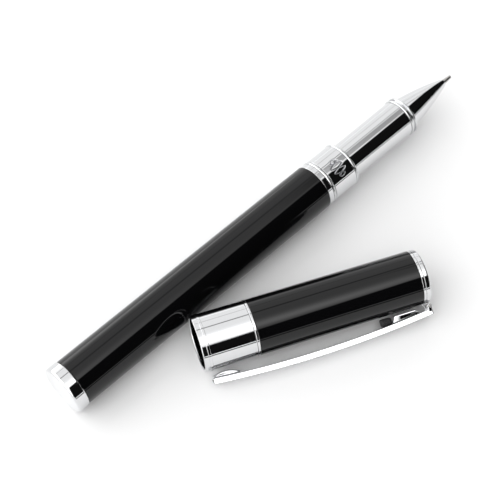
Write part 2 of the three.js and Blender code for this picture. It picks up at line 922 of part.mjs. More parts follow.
function makePen() {
  const pen = new THREE.Group();
  pen.add(
    piece("tail_cap", tailCap(), chrome()),
    piece("tail_plug", tailPlug(), brass()),
    piece("barrel_tube", barrelTube(), lacquer()),
    piece("barrel_trim_ring", barrelTrimRing(), chrome()),
    piece("barrel_thread_sleeve", threadSleeve(), brass()),
    piece("refill_spring", refillSpring(), steel()),
    piece("section_core", sectionCore(), brass()),
    piece("section_ring_rear", sectionRing(rearRingStart), chrome()),
    piece("centre_band", centreBand(), chrome()),
    piece("section_ring_front", sectionRing(frontRingStart), chrome()),
    piece("grip_shell", gripShell(), chrome()),
    piece("lip_ring", lipRing(), chrome()),
    piece("nose_cone", noseCone(), chrome()),
    piece("refill_tube", refillTube(), refillPlastic()),
    piece("refill_rear_plug", refillRearPlug(), blackPlastic()),
    piece("ink_reservoir", inkReservoir(), inkFibre()),
    piece("refill_nose", refillNose(), refillPlastic()),
    piece("tip_holder", tipHolder(), steel()),
    piece("writing_ball", writingBall(), carbide()),
  );
  return pen;
}

function makeCap() {
  const cap = new THREE.Group();
  cap.add(
    piece("cap_mouth_band", capMouthBand(), chrome()),
    piece("cap_trim_ring", capTrimRing(), chrome()),
    piece("cap_tube", capTube(), lacquer()),
    piece("cap_liner", capLiner(), blackPlastic()),
    piece("cap_inner_cup", capInnerCup(), blackPlastic()),
    piece("cap_end_plug", capEndPlug(), brass()),
    piece("cap_end_disc", capEndDisc(), chrome()),
    piece("clip_bracket", clipBracket(), chrome()),
    piece("clip_hinge_pin", hingePin(), steel()),
    piece("clip_hinge_spring", hingeSpring(), steel()),
    piece("clip_bar", clipBar(), chrome()),
    piece("clip_foot_pad", clipFootPad(), chrome()),
    piece("clip_cheek", clipCheek(), chrome()),
    piece("clip_bumper", clipBumper(), blackPlastic()),
  );
  return cap;
}

// The cap rolls until both its rim and an edge of the clip touch the table.
const capHeight = capRadius(CAP_RIM_START) + CAP_RIM_PROUD;
const clipMiddle = CLIP_START + clipLength / 2;
const clipReach = Math.hypot(clipOuter(clipMiddle), CLIP_WIDTH / 2);
const clipBelowLevel =
  Math.asin(capHeight / clipReach) -
  Math.atan2(CLIP_WIDTH / 2, clipOuter(clipMiddle));

const cap = makeCap();
cap.rotation.x = Math.PI / 2 + clipBelowLevel;
cap.position.z = capHeight;

// The cap's mouth stands beside the barrel, a small gap from it.
const pen = makePen();
const aside =
  BARREL_RADIUS + CAP_TO_PEN_GAP + capMouthRadius * Math.cos(PEN_YAW);
pen.rotation.z = PEN_YAW;
pen.position.set(
  -MOUTH_ALONG_PEN * Math.cos(PEN_YAW) - aside * Math.sin(PEN_YAW),
  -MOUTH_ALONG_PEN * Math.sin(PEN_YAW) + aside * Math.cos(PEN_YAW),
  Math.max(tailCapRadius, sectionRingRadius),
);

const laid = new THREE.Group();
laid.add(pen, cap);
const bounds = new THREE.Box3().setFromObject(laid, true);
const middle = bounds.getCenter(new THREE.Vector3());
laid.position.set(-middle.x, -middle.y, -bounds.min.z);

const rollerballPen = new THREE.Group();
rollerballPen.add(laid);

export default rollerballPen;
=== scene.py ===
import json
import math

import bpy
import numpy as np
from bpy.props import FloatProperty, FloatVectorProperty, IntProperty, PointerProperty
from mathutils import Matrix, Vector


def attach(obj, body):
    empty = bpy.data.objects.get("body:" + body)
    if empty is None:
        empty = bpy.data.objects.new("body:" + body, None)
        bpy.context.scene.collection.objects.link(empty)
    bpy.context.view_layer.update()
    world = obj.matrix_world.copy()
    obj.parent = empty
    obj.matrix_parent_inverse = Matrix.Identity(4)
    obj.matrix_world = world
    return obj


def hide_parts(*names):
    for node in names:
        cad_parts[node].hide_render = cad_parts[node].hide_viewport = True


bl_info = {
    "name": "Rollerball pen",
    "version": (1, 0, 0),
    "blender": (4, 2, 0),
    "location": "3D View > Sidebar > Pen",
    "description": "Builds the looks of a capped rollerball pen around its packed frame",
    "category": "Object",
}

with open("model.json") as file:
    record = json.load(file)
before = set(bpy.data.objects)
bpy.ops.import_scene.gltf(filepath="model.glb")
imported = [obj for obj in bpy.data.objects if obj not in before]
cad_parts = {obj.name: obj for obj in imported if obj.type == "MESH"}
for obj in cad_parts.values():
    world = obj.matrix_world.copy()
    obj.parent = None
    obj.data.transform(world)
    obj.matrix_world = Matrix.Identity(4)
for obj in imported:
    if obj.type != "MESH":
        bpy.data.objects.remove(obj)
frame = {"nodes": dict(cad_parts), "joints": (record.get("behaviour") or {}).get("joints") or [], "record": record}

EXACT = 1e-7  # radii this close count as equal
MM = 0.001
UP = np.array([0.0, 0.0, 1.0])


# ---------------------------------------------------------------- the two axes of the object


def unit(v):
    return np.asarray(v, float) / np.linalg.norm(v)


class Axis:
    """A line through the frame with a station measured along it and two directions across it."""

    def __init__(self, origin, along, up):
        self.origin = np.asarray(origin, float)
        self.along = unit(along)
        self.up = unit(up - self.along * np.dot(up, self.along))
        self.side = np.cross(self.along, self.up)

    def place(self, x, a, b):
        """Station x along the line, a along its up and b along its side."""
        return (
            self.origin
            + np.multiply.outer(x, self.along)
            + np.multiply.outer(a, self.up)
            + np.multiply.outer(b, self.side)
        )

    def read(self, points):
        """The inverse of place: columns x, a, b."""
        rel = np.asarray(points, float) - self.origin
        return rel @ np.stack([self.along, self.up, self.side], axis=1)


def vertices_of(node):
    mesh = frame["nodes"][node].data
    co = np.empty(len(mesh.vertices) * 3)
    mesh.vertices.foreach_get("co", co)
    return co.reshape(-1, 3)


def mount(name):
    return next(m for m in frame["record"]["mounts"] if m["name"] == name)


def joint(name):
    return next(j for j in frame["joints"] if j["name"] == name)


def pen_axis():
    """From the tail face forwards, with up vertical."""
    tail = mount("tail_face")
    return Axis(tail["pos_m"], -np.array(tail["axis"]), UP)


def cap_axis():
    """From the cap's mouth to its top; up points at the clip."""
    end = mount("cap_end_face")
    along = unit(end["axis"])
    hinge = unit(joint("clip_hinge")["axis"])
    rel = (vertices_of("cap_mouth_band") - np.array(end["pos_m"])) @ along
    origin = np.array(end["pos_m"]) + along * rel.min()
    return Axis(origin, along, np.cross(hinge, along) * -1)


class Span:
    """Where a CAD node lies on an axis: its ends and its radii."""

    def __init__(self, node, axis):
        self.xab = axis.read(vertices_of(node))
        self.x = self.xab[:, 0]
        self.r = np.hypot(self.xab[:, 1], self.xab[:, 2])
        self.start, self.end = self.x.min(), self.x.max()
        self.outer, self.bore = self.r.max(), self.r.min()

    def near(self, x, reach=0.02 * MM):
        return self.r[np.abs(self.x - x) < reach]

    def outer_at(self, x):
        return self.near(x).max()

    def bore_at(self, x):
        return self.near(x).min()


PEN = pen_axis()
CAP = cap_axis()


# ---------------------------------------------------------------- shapes


def rounded(corners, steps=6, hold=0.25):
    """A closed or open line of (x, r, fillet) corners with each fillet drawn as an arc.

    The arc touches both sides at fillet / tan(half the angle between them) from the corner, and
    a holding point on each side, a share `hold` of that further out, keeps the flats flat.
    """
    points = np.array([complex(c[0], c[1]) for c in corners])
    radii = np.array([c[2] for c in corners])
    n = len(points)
    line = []
    for i in range(n):
        here, before, after = points[i], points[i - 1], points[(i + 1) % n]
        if radii[i] <= 0 or abs(before - here) < 1e-9 or abs(after - here) < 1e-9:
            line.append([here])
            continue
        u, v = (before - here) / abs(before - here), (after - here) / abs(after - here)
        turn = abs(np.angle(v / u))
        if turn < 1e-3 or math.pi - turn < 1e-3:
            line.append([here])
            continue
        room = 0.42 * min(abs(before - here), abs(after - here))
        touch = min(radii[i] / math.tan(turn / 2), room)
        radius = touch * math.tan(turn / 2)
        centre = here + (u + v) / abs(u + v) * math.hypot(touch, radius)
        first, last = here + u * touch - centre, here + v * touch - centre
        sweep = np.angle(last / first)
        arc = centre + first * np.exp(1j * sweep * np.linspace(0, 1, steps + 1))
        line.append(
            [here + u * touch * (1 + hold), *arc, here + v * touch * (1 + hold)]
        )
    flat = np.concatenate(line)
    return np.stack([flat.real, flat.imag], axis=1)


def between(a, b, count):
    """Evenly spaced interior points of the segment from a to b, with no fillet."""
    t = np.linspace(0, 1, count + 2)[1:-1]
    return [(a[0] + (b[0] - a[0]) * s, a[1] + (b[1] - a[1]) * s, 0) for s in t]


def object_from(name, points, faces, body, slot, replaced, material):
    """One finished piece: faces turned outward, smooth, riding its body."""
    mesh = bpy.data.meshes.new(name)
    mesh.from_pydata(
        np.asarray(points).tolist(), [], [tuple(map(int, f)) for f in faces]
    )
    mesh.validate()
    mesh.polygons.foreach_set("use_smooth", np.ones(len(mesh.polygons), bool))
    made = bpy.data.objects.new(name, mesh)
    bpy.context.scene.collection.objects.link(made)
    mesh.materials.append(material)
    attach(made, body)
    if replaced:
        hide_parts(*replaced)
    return made


def volume_of(points, faces):
    """Sum over fan triangles of a . (b x c) / 6: above nought when the faces look outward."""
    total = 0.0
    sizes = np.array([len(f) for f in faces])
    for size in np.unique(sizes):
        group = np.array([f for f in faces if len(f) == size])
        for k in range(1, size - 1):
            a, b, c = points[group[:, 0]], points[group[:, k]], points[group[:, k + 1]]
            total += np.einsum("ij,ij->i", a, np.cross(b, c)).sum() / 6
    return total


def outward(points, faces):
    centred = points - points.mean(axis=0)
    if volume_of(centred, faces) < 0:
        return [f[::-1] for f in faces]
    return faces


def revolved(profile, axis, segments, closed=True, ripple=None):
    """A profile of (x, r) points turned about an axis.

    Point (i, j) lies at station x_i, at r_i (cos t_j up + sin t_j side). Profile ends on the
    axis become one pole each. `ripple(x, r, t)` may add to the radius of the points it is given.
    """
    profile = np.asarray(profile, float)
    on_axis = profile[:, 1] < 1e-9
    t = np.linspace(0, 2 * math.pi, segments, endpoint=False)
    x = np.repeat(profile[:, 0, None], segments, axis=1)
    r = np.repeat(profile[:, 1, None], segments, axis=1)
    if ripple is not None:
        r = r + ripple(x, r, t[None, :])
    grid = axis.place(x, r * np.cos(t), r * np.sin(t))
    count = len(profile)
    points, index = [], np.empty((count, segments), int)
    at = 0
    for i in range(count):
        if on_axis[i]:
            points.append(grid[i, :1])
            index[i] = at
            at += 1
        else:
            points.append(grid[i])
            index[i] = at + np.arange(segments)
            at += segments
    faces = []
    pairs = range(count) if closed and not on_axis.any() else range(count - 1)
    for i in pairs:
        a, b = index[i], index[(i + 1) % count]
        c, d = np.roll(b, -1), np.roll(a, -1)
        if on_axis[i] and on_axis[(i + 1) % count]:
            continue
        if on_axis[i]:
            faces += np.stack([a, b, c], axis=1).tolist()
        elif on_axis[(i + 1) % count]:
            faces += np.stack([a, b, d], axis=1).tolist()
        else:
            faces += np.stack([a, b, c, d], axis=1).tolist()
    points = np.concatenate(points)
    return points, outward(points, faces)


def swept(centres, normals, binormals, radius, faces_round, capped=True):
    """A round wire: at each centre a circle of the radius in the plane of its two directions."""
    t = np.linspace(0, 2 * math.pi, faces_round, endpoint=False)
    ring = normals[:, None] * np.cos(t)[None, :, None] + binormals[:, None] * np.sin(t)[
        None, :, None
    ]
    points = (centres[:, None] + radius * ring).reshape(-1, 3)
    n = len(centres)
    index = np.arange(n * faces_round).reshape(n, faces_round)
    a, b = index[:-1], index[1:]
    quads = np.stack([a, b, np.roll(b, -1, 1), np.roll(a, -1, 1)], axis=2)
    faces = quads.reshape(-1, 4).tolist()
    if capped:
        faces += [index[0][::-1].tolist(), index[-1].tolist()]
    return points, outward(points, faces)


def coil(axis, start, end, radius, wire, turns, faces_round, steps_per_turn=40):
    """A helix of the radius from start to end, its wire swept as a circle across the helix.

    With u round the helix, the centre is start + pitch u / 2 pi along, and radius (cos u, sin u)
    across; the circle's directions are the outward one and the one square to both it and the run.
    """
    u = np.linspace(0, 2 * math.pi * turns, int(steps_per_turn * turns) + 1)
    x = start + (end - start) * u / u[-1]
    centres = axis.place(x, radius * np.cos(u), radius * np.sin(u))
    out = np.multiply.outer(np.cos(u), axis.up) + np.multiply.outer(
        np.sin(u), axis.side
    )
    run = np.gradient(centres, axis=0)
    run /= np.linalg.norm(run, axis=1, keepdims=True)
    across = np.cross(run, out)
    return swept(centres, out, across, wire, faces_round)


def plate(outline, axis, half_width, edge, centre=0.0, steps=3):
    """A flat-sided bar: an outline of (x, a) points given width along the axis's side.

    Its two side edges are rounded: loop k is the outline moved inwards by edge (1 - cos p) and
    stands at half_width - edge (1 - sin p), with p from nought to a right angle.
    """
    z = np.asarray(outline[:, 0] + 1j * outline[:, 1])
    area = 0.5 * np.sum((np.conj(z) * np.roll(z, -1)).imag)
    if area < 0:
        z = z[::-1]
    ahead = np.roll(z, -1) - z
    ahead /= np.maximum(np.abs(ahead), 1e-12)
    behind = np.roll(ahead, 1)
    bisect = ahead + behind
    bisect /= np.maximum(np.abs(bisect), 1e-12)
    inward = 1j * bisect / np.maximum((bisect * np.conj(ahead)).real, 0.35)
    p = np.linspace(0, math.pi / 2, steps + 1)
    inset = edge * (1 - np.cos(p))
    level = half_width - edge * (1 - np.sin(p))
    inset, level = np.append(inset, edge * 1.35), np.append(level, half_width)
    insets = np.concatenate([inset[::-1], inset])
    levels = np.concatenate([-level[::-1], level]) + centre
    loops = z[None, :] + insets[:, None] * inward[None, :]
    points = axis.place(
        loops.real, loops.imag, np.repeat(levels[:, None], len(z), axis=1)
    ).reshape(-1, 3)
    n, count = len(z), len(insets)
    index = np.arange(n * count).reshape(count, n)
    a, b = index[:-1], index[1:]
    quads = np.stack([a, np.roll(a, -1, 1), np.roll(b, -1, 1), b], axis=2)
    faces = quads.reshape(-1, 4).tolist()
    return points, faces, index


def ring_profile(start, end, bore, outer, edge, bore_edge=None):
    """A square-cut ring with its edges broken, more finely at the bore if that is given."""
    inner = edge if bore_edge is None else bore_edge
    return rounded(
        [(start, bore, inner), (start, outer, edge), (end, outer, edge), (end, bore, inner)]
    )


def closed_plate(outline, axis, half_width, edge, lean=0.0):
    """A plate with a simple outline, its two flanks closed by one face each.

    With a lean, each flank slopes in by tan(lean) times the depth below the outline's top.
    """
    points, faces, index = plate(outline, axis, half_width, edge)
    faces += [index[0][::-1].tolist(), index[-1].tolist()]
    xab = axis.read(points)
    room = math.tan(lean) * (xab[:, 1].max() - xab[:, 1])
    xab[:, 2] *= 1 - room / half_width
    points = axis.place(xab[:, 0], xab[:, 1], xab[:, 2])
    return points, outward(points, faces)


def lofted(stations, sections, axis):
    """Cross-sections of (a, b) points, one at each station, joined in turn and closed at both
    ends by one face."""
    n = sections.shape[1]
    x = np.repeat(np.asarray(stations)[:, None], n, axis=1)
    points = axis.place(x, sections[..., 0], sections[..., 1]).reshape(-1, 3)
    index = np.arange(len(points)).reshape(len(stations), n)
    a, b = index[:-1], index[1:]
    quads = np.stack([a, b, np.roll(b, -1, 1), np.roll(a, -1, 1)], axis=2)
    faces = quads.reshape(-1, 4).tolist()
    faces += [index[0][::-1].tolist(), index[-1].tolist()]
    return points, outward(points, faces)


def merged(*shapes):
    """Several shapes in one mesh."""
    points, faces, at = [], [], 0
    for p, f in shapes:
        points.append(p)
        faces += [[v + at for v in face] for face in f]
        at += len(p)
    return np.concatenate(points), faces


# ---------------------------------------------------------------- finishes


class Graph:
    """Short names for building a material's nodes."""

    def __init__(self, name):
        self.material = bpy.data.materials.new(name)
        self.material.use_nodes = True
        self.tree = self.material.node_tree
        self.shader = self.tree.nodes["Principled BSDF"]

    def node(self, kind, **inputs):
        made = self.tree.nodes.new(kind)
        for name, value in inputs.items():
            made.inputs[name.replace("_", " ")].default_value = value
        return made

    def link(self, source, target):
        self.tree.links.new(source, target)

    def set(self, **values):
        for name, value in values.items():
            self.shader.inputs[name.replace("_", " ")].default_value = value

    def math(self, operation, a, b=None, c=None):
        made = self.tree.nodes.new("ShaderNodeMath")
        made.operation = operation
        for socket, value in zip(made.inputs, (a, b, c)):
            if value is None:
                continue
            if isinstance(value, bpy.types.NodeSocket):
                self.link(value, socket)
            else:
                socket.default_value = value
        return made.outputs[0]

    def along(self, axis):
        """The place on the object as (station, up, side) of the axis, in metres."""
        place = self.tree.nodes.new("ShaderNodeTexCoord").outputs["Object"]
        parts = []
        for direction in (axis.along, axis.up, axis.side):
            dot = self.tree.nodes.new("ShaderNodeVectorMath")
            dot.operation = "DOT_PRODUCT"
            self.link(place, dot.inputs[0])
            dot.inputs[1].default_value = direction.tolist()
            parts.append(
                self.math("SUBTRACT", dot.outputs["Value"], float(axis.origin @ direction))
            )
        joined = self.tree.nodes.new("ShaderNodeCombineXYZ")
        for part, socket in zip(parts, joined.inputs):
            self.link(part, socket)
        return joined.outputs[0]

    def noise(self, vector, scale, detail=2.0, stretch=(1, 1, 1)):
        if stretch != (1, 1, 1):
            scaled = self.tree.nodes.new("ShaderNodeVectorMath")
            scaled.operation = "MULTIPLY"
            self.link(vector, scaled.inputs[0])
            scaled.inputs[1].default_value = stretch
            vector = scaled.outputs[0]
        made = self.node("ShaderNodeTexNoise", Scale=scale, Detail=detail)
        self.link(vector, made.inputs["Vector"])
        return made.outputs["Fac"]

    def ramp(self, value, low, high, out_low, out_high):
        made = self.node("ShaderNodeMapRange")
        self.link(value, made.inputs["Value"])
        for name, v in (
            ("From Min", low),
            ("From Max", high),
            ("To Min", out_low),
            ("To Max", out_high),
        ):
            made.inputs[name].default_value = v
        return made.outputs["Result"]

    def bump(self, height, distance, strength=1.0):
        made = self.node("ShaderNodeBump", Strength=strength, Distance=distance)
        self.link(height, made.inputs["Height"])
        self.link(made.outputs["Normal"], self.shader.inputs["Normal"])
        return made

    def mix(self, factor, a, b):
        made = self.tree.nodes.new("ShaderNodeMix")
        made.data_type = "RGBA"
        self.link(factor, made.inputs["Factor"])
        made.inputs["A"].default_value = (*a, 1)
        made.inputs["B"].default_value = (*b, 1)
        self.link(made.outputs["Result"], self.shader.inputs["Base Color"])


SMEAR_BLUR = 2.2  # how much rougher the plating is where it is smeared
GROOVE_ROUGHNESS = 0.35


def plated(name, axis, finish):
    """Bright plating: faint smears in its roughness and hairlines around the axis."""
    g = Graph(name)
    place = g.along(axis)
    g.set(Metallic=1.0, Base_Color=(*finish.plating_colour, 1))
    smear = g.noise(place, 260.0, 4.0)
    hair = g.noise(place, 900.0, 3.0, (12, 1, 1))
    polish = finish.plating_roughness
    rough = g.ramp(smear, 0.35, 0.75, polish, polish * SMEAR_BLUR)
    g.link(rough, g.shader.inputs["Roughness"])
    g.bump(hair, finish.hairline_depth * 0.02)
    return g.material


def engraved_plating(name, axis, finish):
    """The same plating, rougher where the mesh's groove attribute is high, and darker there: painted shade in the
    engraved grooves.
    """
    g = Graph(name)
    place = g.along(axis)
    g.set(Metallic=1.0)
    groove = g.tree.nodes.new("ShaderNodeAttribute")
    groove.attribute_name = "groove"
    depth = groove.outputs["Fac"]
    smear = g.noise(place, 260.0, 4.0)
    polish = finish.plating_roughness
    rough = g.ramp(smear, 0.35, 0.75, polish, polish * SMEAR_BLUR)
    rough = g.math("ADD", rough, g.math("MULTIPLY", depth, GROOVE_ROUGHNESS))
    g.link(rough, g.shader.inputs["Roughness"])
    # The grey mixed in where the groove is deep is painted shade in the engraving.
    g.mix(depth, tuple(finish.plating_colour), (0.22, 0.22, 0.24))
    return g.material


def lacquered(name, axis, finish):
    """Deep black under a clear coat, with the coat's slow unevenness and a few fine scuffs."""
    g = Graph(name)
    place = g.along(axis)
    g.set(
        Base_Color=(*finish.lacquer_colour, 1),
        Roughness=0.22,
        Specular_IOR_Level=0.0,
        Coat_Weight=1.0,
        Coat_IOR=finish.coat_index,
    )
    scuff = g.noise(place, 420.0, 5.0, (1, 3, 3))
    g.link(
        g.ramp(scuff, 0.55, 0.8, finish.coat_roughness, finish.coat_roughness * 4),
        g.shader.inputs["Coat Roughness"],
    )
    wave = g.noise(place, 170.0, 1.0)
    made = g.bump(wave, 0.00002, 0.25)
    g.link(made.outputs["Normal"], g.shader.inputs["Coat Normal"])
    return g.material


def turned_metal(name, axis, colour, roughness, ring_scale):
    """Metal straight from the lathe: fine rings around the axis with uneven spacing."""
    g = Graph(name)
    place = g.along(axis)
    g.set(Metallic=1.0, Anisotropic=0.5)
    rings = g.noise(place, ring_scale, 3.0, (8, 0.2, 0.2))
    g.link(g.ramp(rings, 0.3, 0.7, roughness * 0.7, roughness * 1.4), g.shader.inputs["Roughness"])
    stain = g.noise(place, 300.0, 4.0)
    darker = tuple(c * 0.78 for c in colour)
    g.mix(g.ramp(stain, 0.4, 0.75, 0.0, 1.0), colour, darker)
    g.bump(rings, 0.000012, 0.6)
    return g.material


def moulded(name, axis, colour, roughness, grain, through=0.0):
    """Moulded plastic or rubber: satin grain, and a little light let in where `through` says."""
    g = Graph(name)
    place = g.along(axis)
    g.set(Subsurface_Weight=through, Subsurface_Scale=0.0006, Specular_IOR_Level=0.45)
    fine = g.noise(place, grain, 3.0)
    cloud = g.noise(place, grain * 0.12, 2.0)
    g.link(g.ramp(fine, 0.3, 0.7, roughness * 0.8, roughness * 1.25), g.shader.inputs["Roughness"])
    g.mix(g.ramp(cloud, 0.35, 0.7, 0.0, 1.0), colour, tuple(c * 0.86 for c in colour))
    g.bump(fine, 0.000015, 0.5)
    return g.material


def fibre(name, axis, finish):
    """Ink-soaked strands that run along the axis."""
    g = Graph(name)
    place = g.along(axis)
    strands = g.noise(place, 2400.0, 4.0, (0.05, 1, 1))
    g.mix(g.ramp(strands, 0.3, 0.7, 0.0, 1.0), (0.012, 0.016, 0.05), tuple(finish.ink_colour))
    g.set(Roughness=0.7)
    g.bump(strands, 0.00004, 0.8)
    return g.material


# ---------------------------------------------------------------- settings


def length(name, text, default):
    return FloatProperty(name=name, description=text, default=default, unit="LENGTH", precision=5)


def plain(name, text, default, low=0.0, high=10.0):
    return FloatProperty(name=name, description=text, default=default, min=low, max=high)


def angle_setting(name, text, degrees):
    return FloatProperty(
        name=name, description=text, default=math.radians(degrees), subtype="ANGLE"
    )


def spot(name, text, default):
    """A place (x, y) on a ceiling one unit up."""
    return FloatVectorProperty(name=name, description=text, default=default, size=2)


def face_count(name, text, default, low):
    return IntProperty(name=name, description=text, default=default, min=low)


def colour(name, text, default):
    return FloatVectorProperty(
        name=name, description=text, default=default, size=3, subtype="COLOR", min=0, max=1
    )


class PenFinish(bpy.types.PropertyGroup):
    """How the materials look."""

    plating_colour: colour("Plating", "Colour of the bright plating", (0.7, 0.705, 0.715))
    plating_roughness: plain("Plating roughness", "Blur of its reflections", 0.035, 0, 1)
    hairline_depth: length("Hairlines", "Depth of the polishing marks", 0.0001)
    lacquer_colour: colour("Lacquer", "Colour under the clear coat", (0.0022, 0.0022, 0.0025))
    coat_roughness: plain("Coat roughness", "Blur of the coat's reflections", 0.025, 0, 1)
    coat_index: plain("Coat index", "Refractive index of the clear coat", 1.41, 1, 2)
    brass_colour: colour("Brass", "Colour of the machined brass", (0.80, 0.58, 0.27))
    steel_colour: colour("Steel", "Colour of springs, pin and tip", (0.56, 0.55, 0.53))
    plastic_colour: colour("Plastic", "Colour of liner and inner cup", (0.016, 0.016, 0.018))
    refill_colour: colour("Refill", "Colour of the refill's plastic", (0.72, 0.75, 0.78))
    # The bumper's near-black is partly a real pad's colour and partly painted shade under the clip.
    rubber_shade_colour: colour("Rubber", "Colour of the clip's bumper", (0.02, 0.02, 0.021))
    ink_colour: colour("Ink", "Colour of the ink in the fibre", (0.03, 0.045, 0.16))


class PenDetail(bpy.types.PropertyGroup):
    """How finely the shapes are drawn, and the small edges that the frame leaves sharp."""

    around: face_count("Around", "Faces around a visible turned piece", 192, 24)
    around_inside: face_count("Around inside", "Faces around a hidden piece", 96, 16)
    edge: length("Edge", "Radius of a broken edge", 0.08 * MM)
    soft_edge: length("Soft edge", "Radius of the clip's polished edges", 0.32 * MM)
    clip_crown: length("Clip crown", "How far the clip's outer face is domed", 0.1 * MM)
    clip_lean: angle_setting("Clip lean", "How far the clip's flanks lean in towards the cap", 8)
    tail_round: length("Tail round", "Radius of the tail cap's outer edge", 0.55 * MM)
    disc_round: length("Disc round", "Radius of the cap disc's outer edge", 0.45 * MM)
    engraving_depth: length("Engraving", "Depth of the motif in the centre band", 0.07 * MM)
    engraving_width: length("Engraving width", "Width of its lines", 0.24 * MM)


class PenStage(bpy.types.PropertyGroup):
    """The floor, the soft light around the pen and the camera."""

    floor_colour: colour("Floor", "Colour of the floor", (0.95, 0.95, 0.95))
    floor_half: length("Floor size", "Half the side of the floor", 3.0)
    light: plain("Light", "Radiance of the softbox overhead", 1.38, 0, 20)
    dark: plain("Dark", "Share of it that the rest of the room gives", 0.006, 0, 1)
    azimuth: angle_setting("Azimuth", "Where the camera stands", -18.94)
    elevation: angle_setting("Elevation", "Camera above the floor", 59.75)
    distance: length("Distance", "Camera to what it looks at", 0.330)
    target: FloatVectorProperty(
        name="Target",
        description="What it looks at",
        default=(-0.0043, 0.0024, 0.0),
        size=3,
        subtype="TRANSLATION",
    )
    lens: plain("Lens", "Focal length in millimetres on a 36 mm sensor", 100.6, 10, 300)
    light_yaw: angle_setting("Light yaw", "Which way the softbox's edge runs", 62.7)
    light_edge: plain("Light edge", "Where that edge lies, on a ceiling one unit up", -0.575, -5, 5)
    screen_yaw: angle_setting("Screen yaw", "Which way the dimmer screen's slats run", 24)
    screen_centre: spot("Screen centre", "Its middle, on a ceiling one unit up", (0.47, 0.27))
    left_share: plain("Left share", "How much brighter the softbox is on the left", 1.4, 0, 20)
    hot_share: plain("Lamp share", "How much brighter it is around its lamp", 1.8, 0, 20)
    hot_centre: spot("Lamp centre", "The lamp, on a ceiling one unit up", (0.2, -0.38))
    screen_dim: plain("Screen dim", "Share of the light that it takes away", 0.6, 0, 1)


def settings():
    return bpy.context.scene.pen_finish, bpy.context.scene.pen_detail


def turned_piece(name, profile, axis, body, slot, material, segments, ripple=None):
    """A turned piece that stands for the CAD node of the same name."""
    points, faces = revolved(profile, axis, segments, ripple=ripple)
    return object_from(name + "_look", points, faces, body, slot, [name], material)


def tube_profile(span, edge, cuts=0):
    """A plain tube between the span's ends, its radii read at each end, its edges broken."""
    a, b = span.start, span.end
    outer_a, outer_b = span.outer_at(a), span.outer_at(b)
    bore = span.bore
    return rounded(
        [
            (a, bore, edge),
            (a, outer_a, edge),
            *between((a, outer_a), (b, outer_b), cuts),
            (b, outer_b, edge),
            (b, bore, edge),
        ]
    )


# ---------------------------------------------------------------- barrel


class PEN_OT_barrel(bpy.types.Operator):
    """Builds the lacquered barrel, the tail cap and the plated ring at the barrel's front."""

    bl_idname = "pen.barrel"
    bl_label = "Barrel and tail"

    def execute(self, context):
        finish, detail = settings()
        chrome = plated("pen_chrome", PEN, finish)
        lacquer = lacquered("pen_lacquer", PEN, finish)
        for name, edge, cuts, slot, material in (
            ("barrel_tube", detail.edge, 3, "black_lacquer", lacquer),
            ("barrel_trim_ring", detail.edge * 1.5, 0, "chrome", chrome),
        ):
            shape = tube_profile(Span(name, PEN), edge, cuts)
            turned_piece(name, shape, PEN, "barrel", slot, material, detail.around)
        cap = Span("tail_cap", PEN)
        head = cap.x[cap.r > cap.outer - 0.4 * MM].max()
        stud = cap.outer_at(cap.end)
        profile = rounded(
            [
                (cap.start, 0, 0),
                (cap.start, cap.outer, detail.tail_round),
                (head, cap.outer, detail.tail_round / 2),
                (head, stud, detail.edge / 2),
                (cap.end, stud, detail.edge * 2),
                (cap.end, 0, 0),
            ],
            steps=10,
        )
        turned_piece("tail_cap", profile, PEN, "barrel", "chrome", chrome, detail.around)
        return {"FINISHED"}


# ---------------------------------------------------------------- grip section


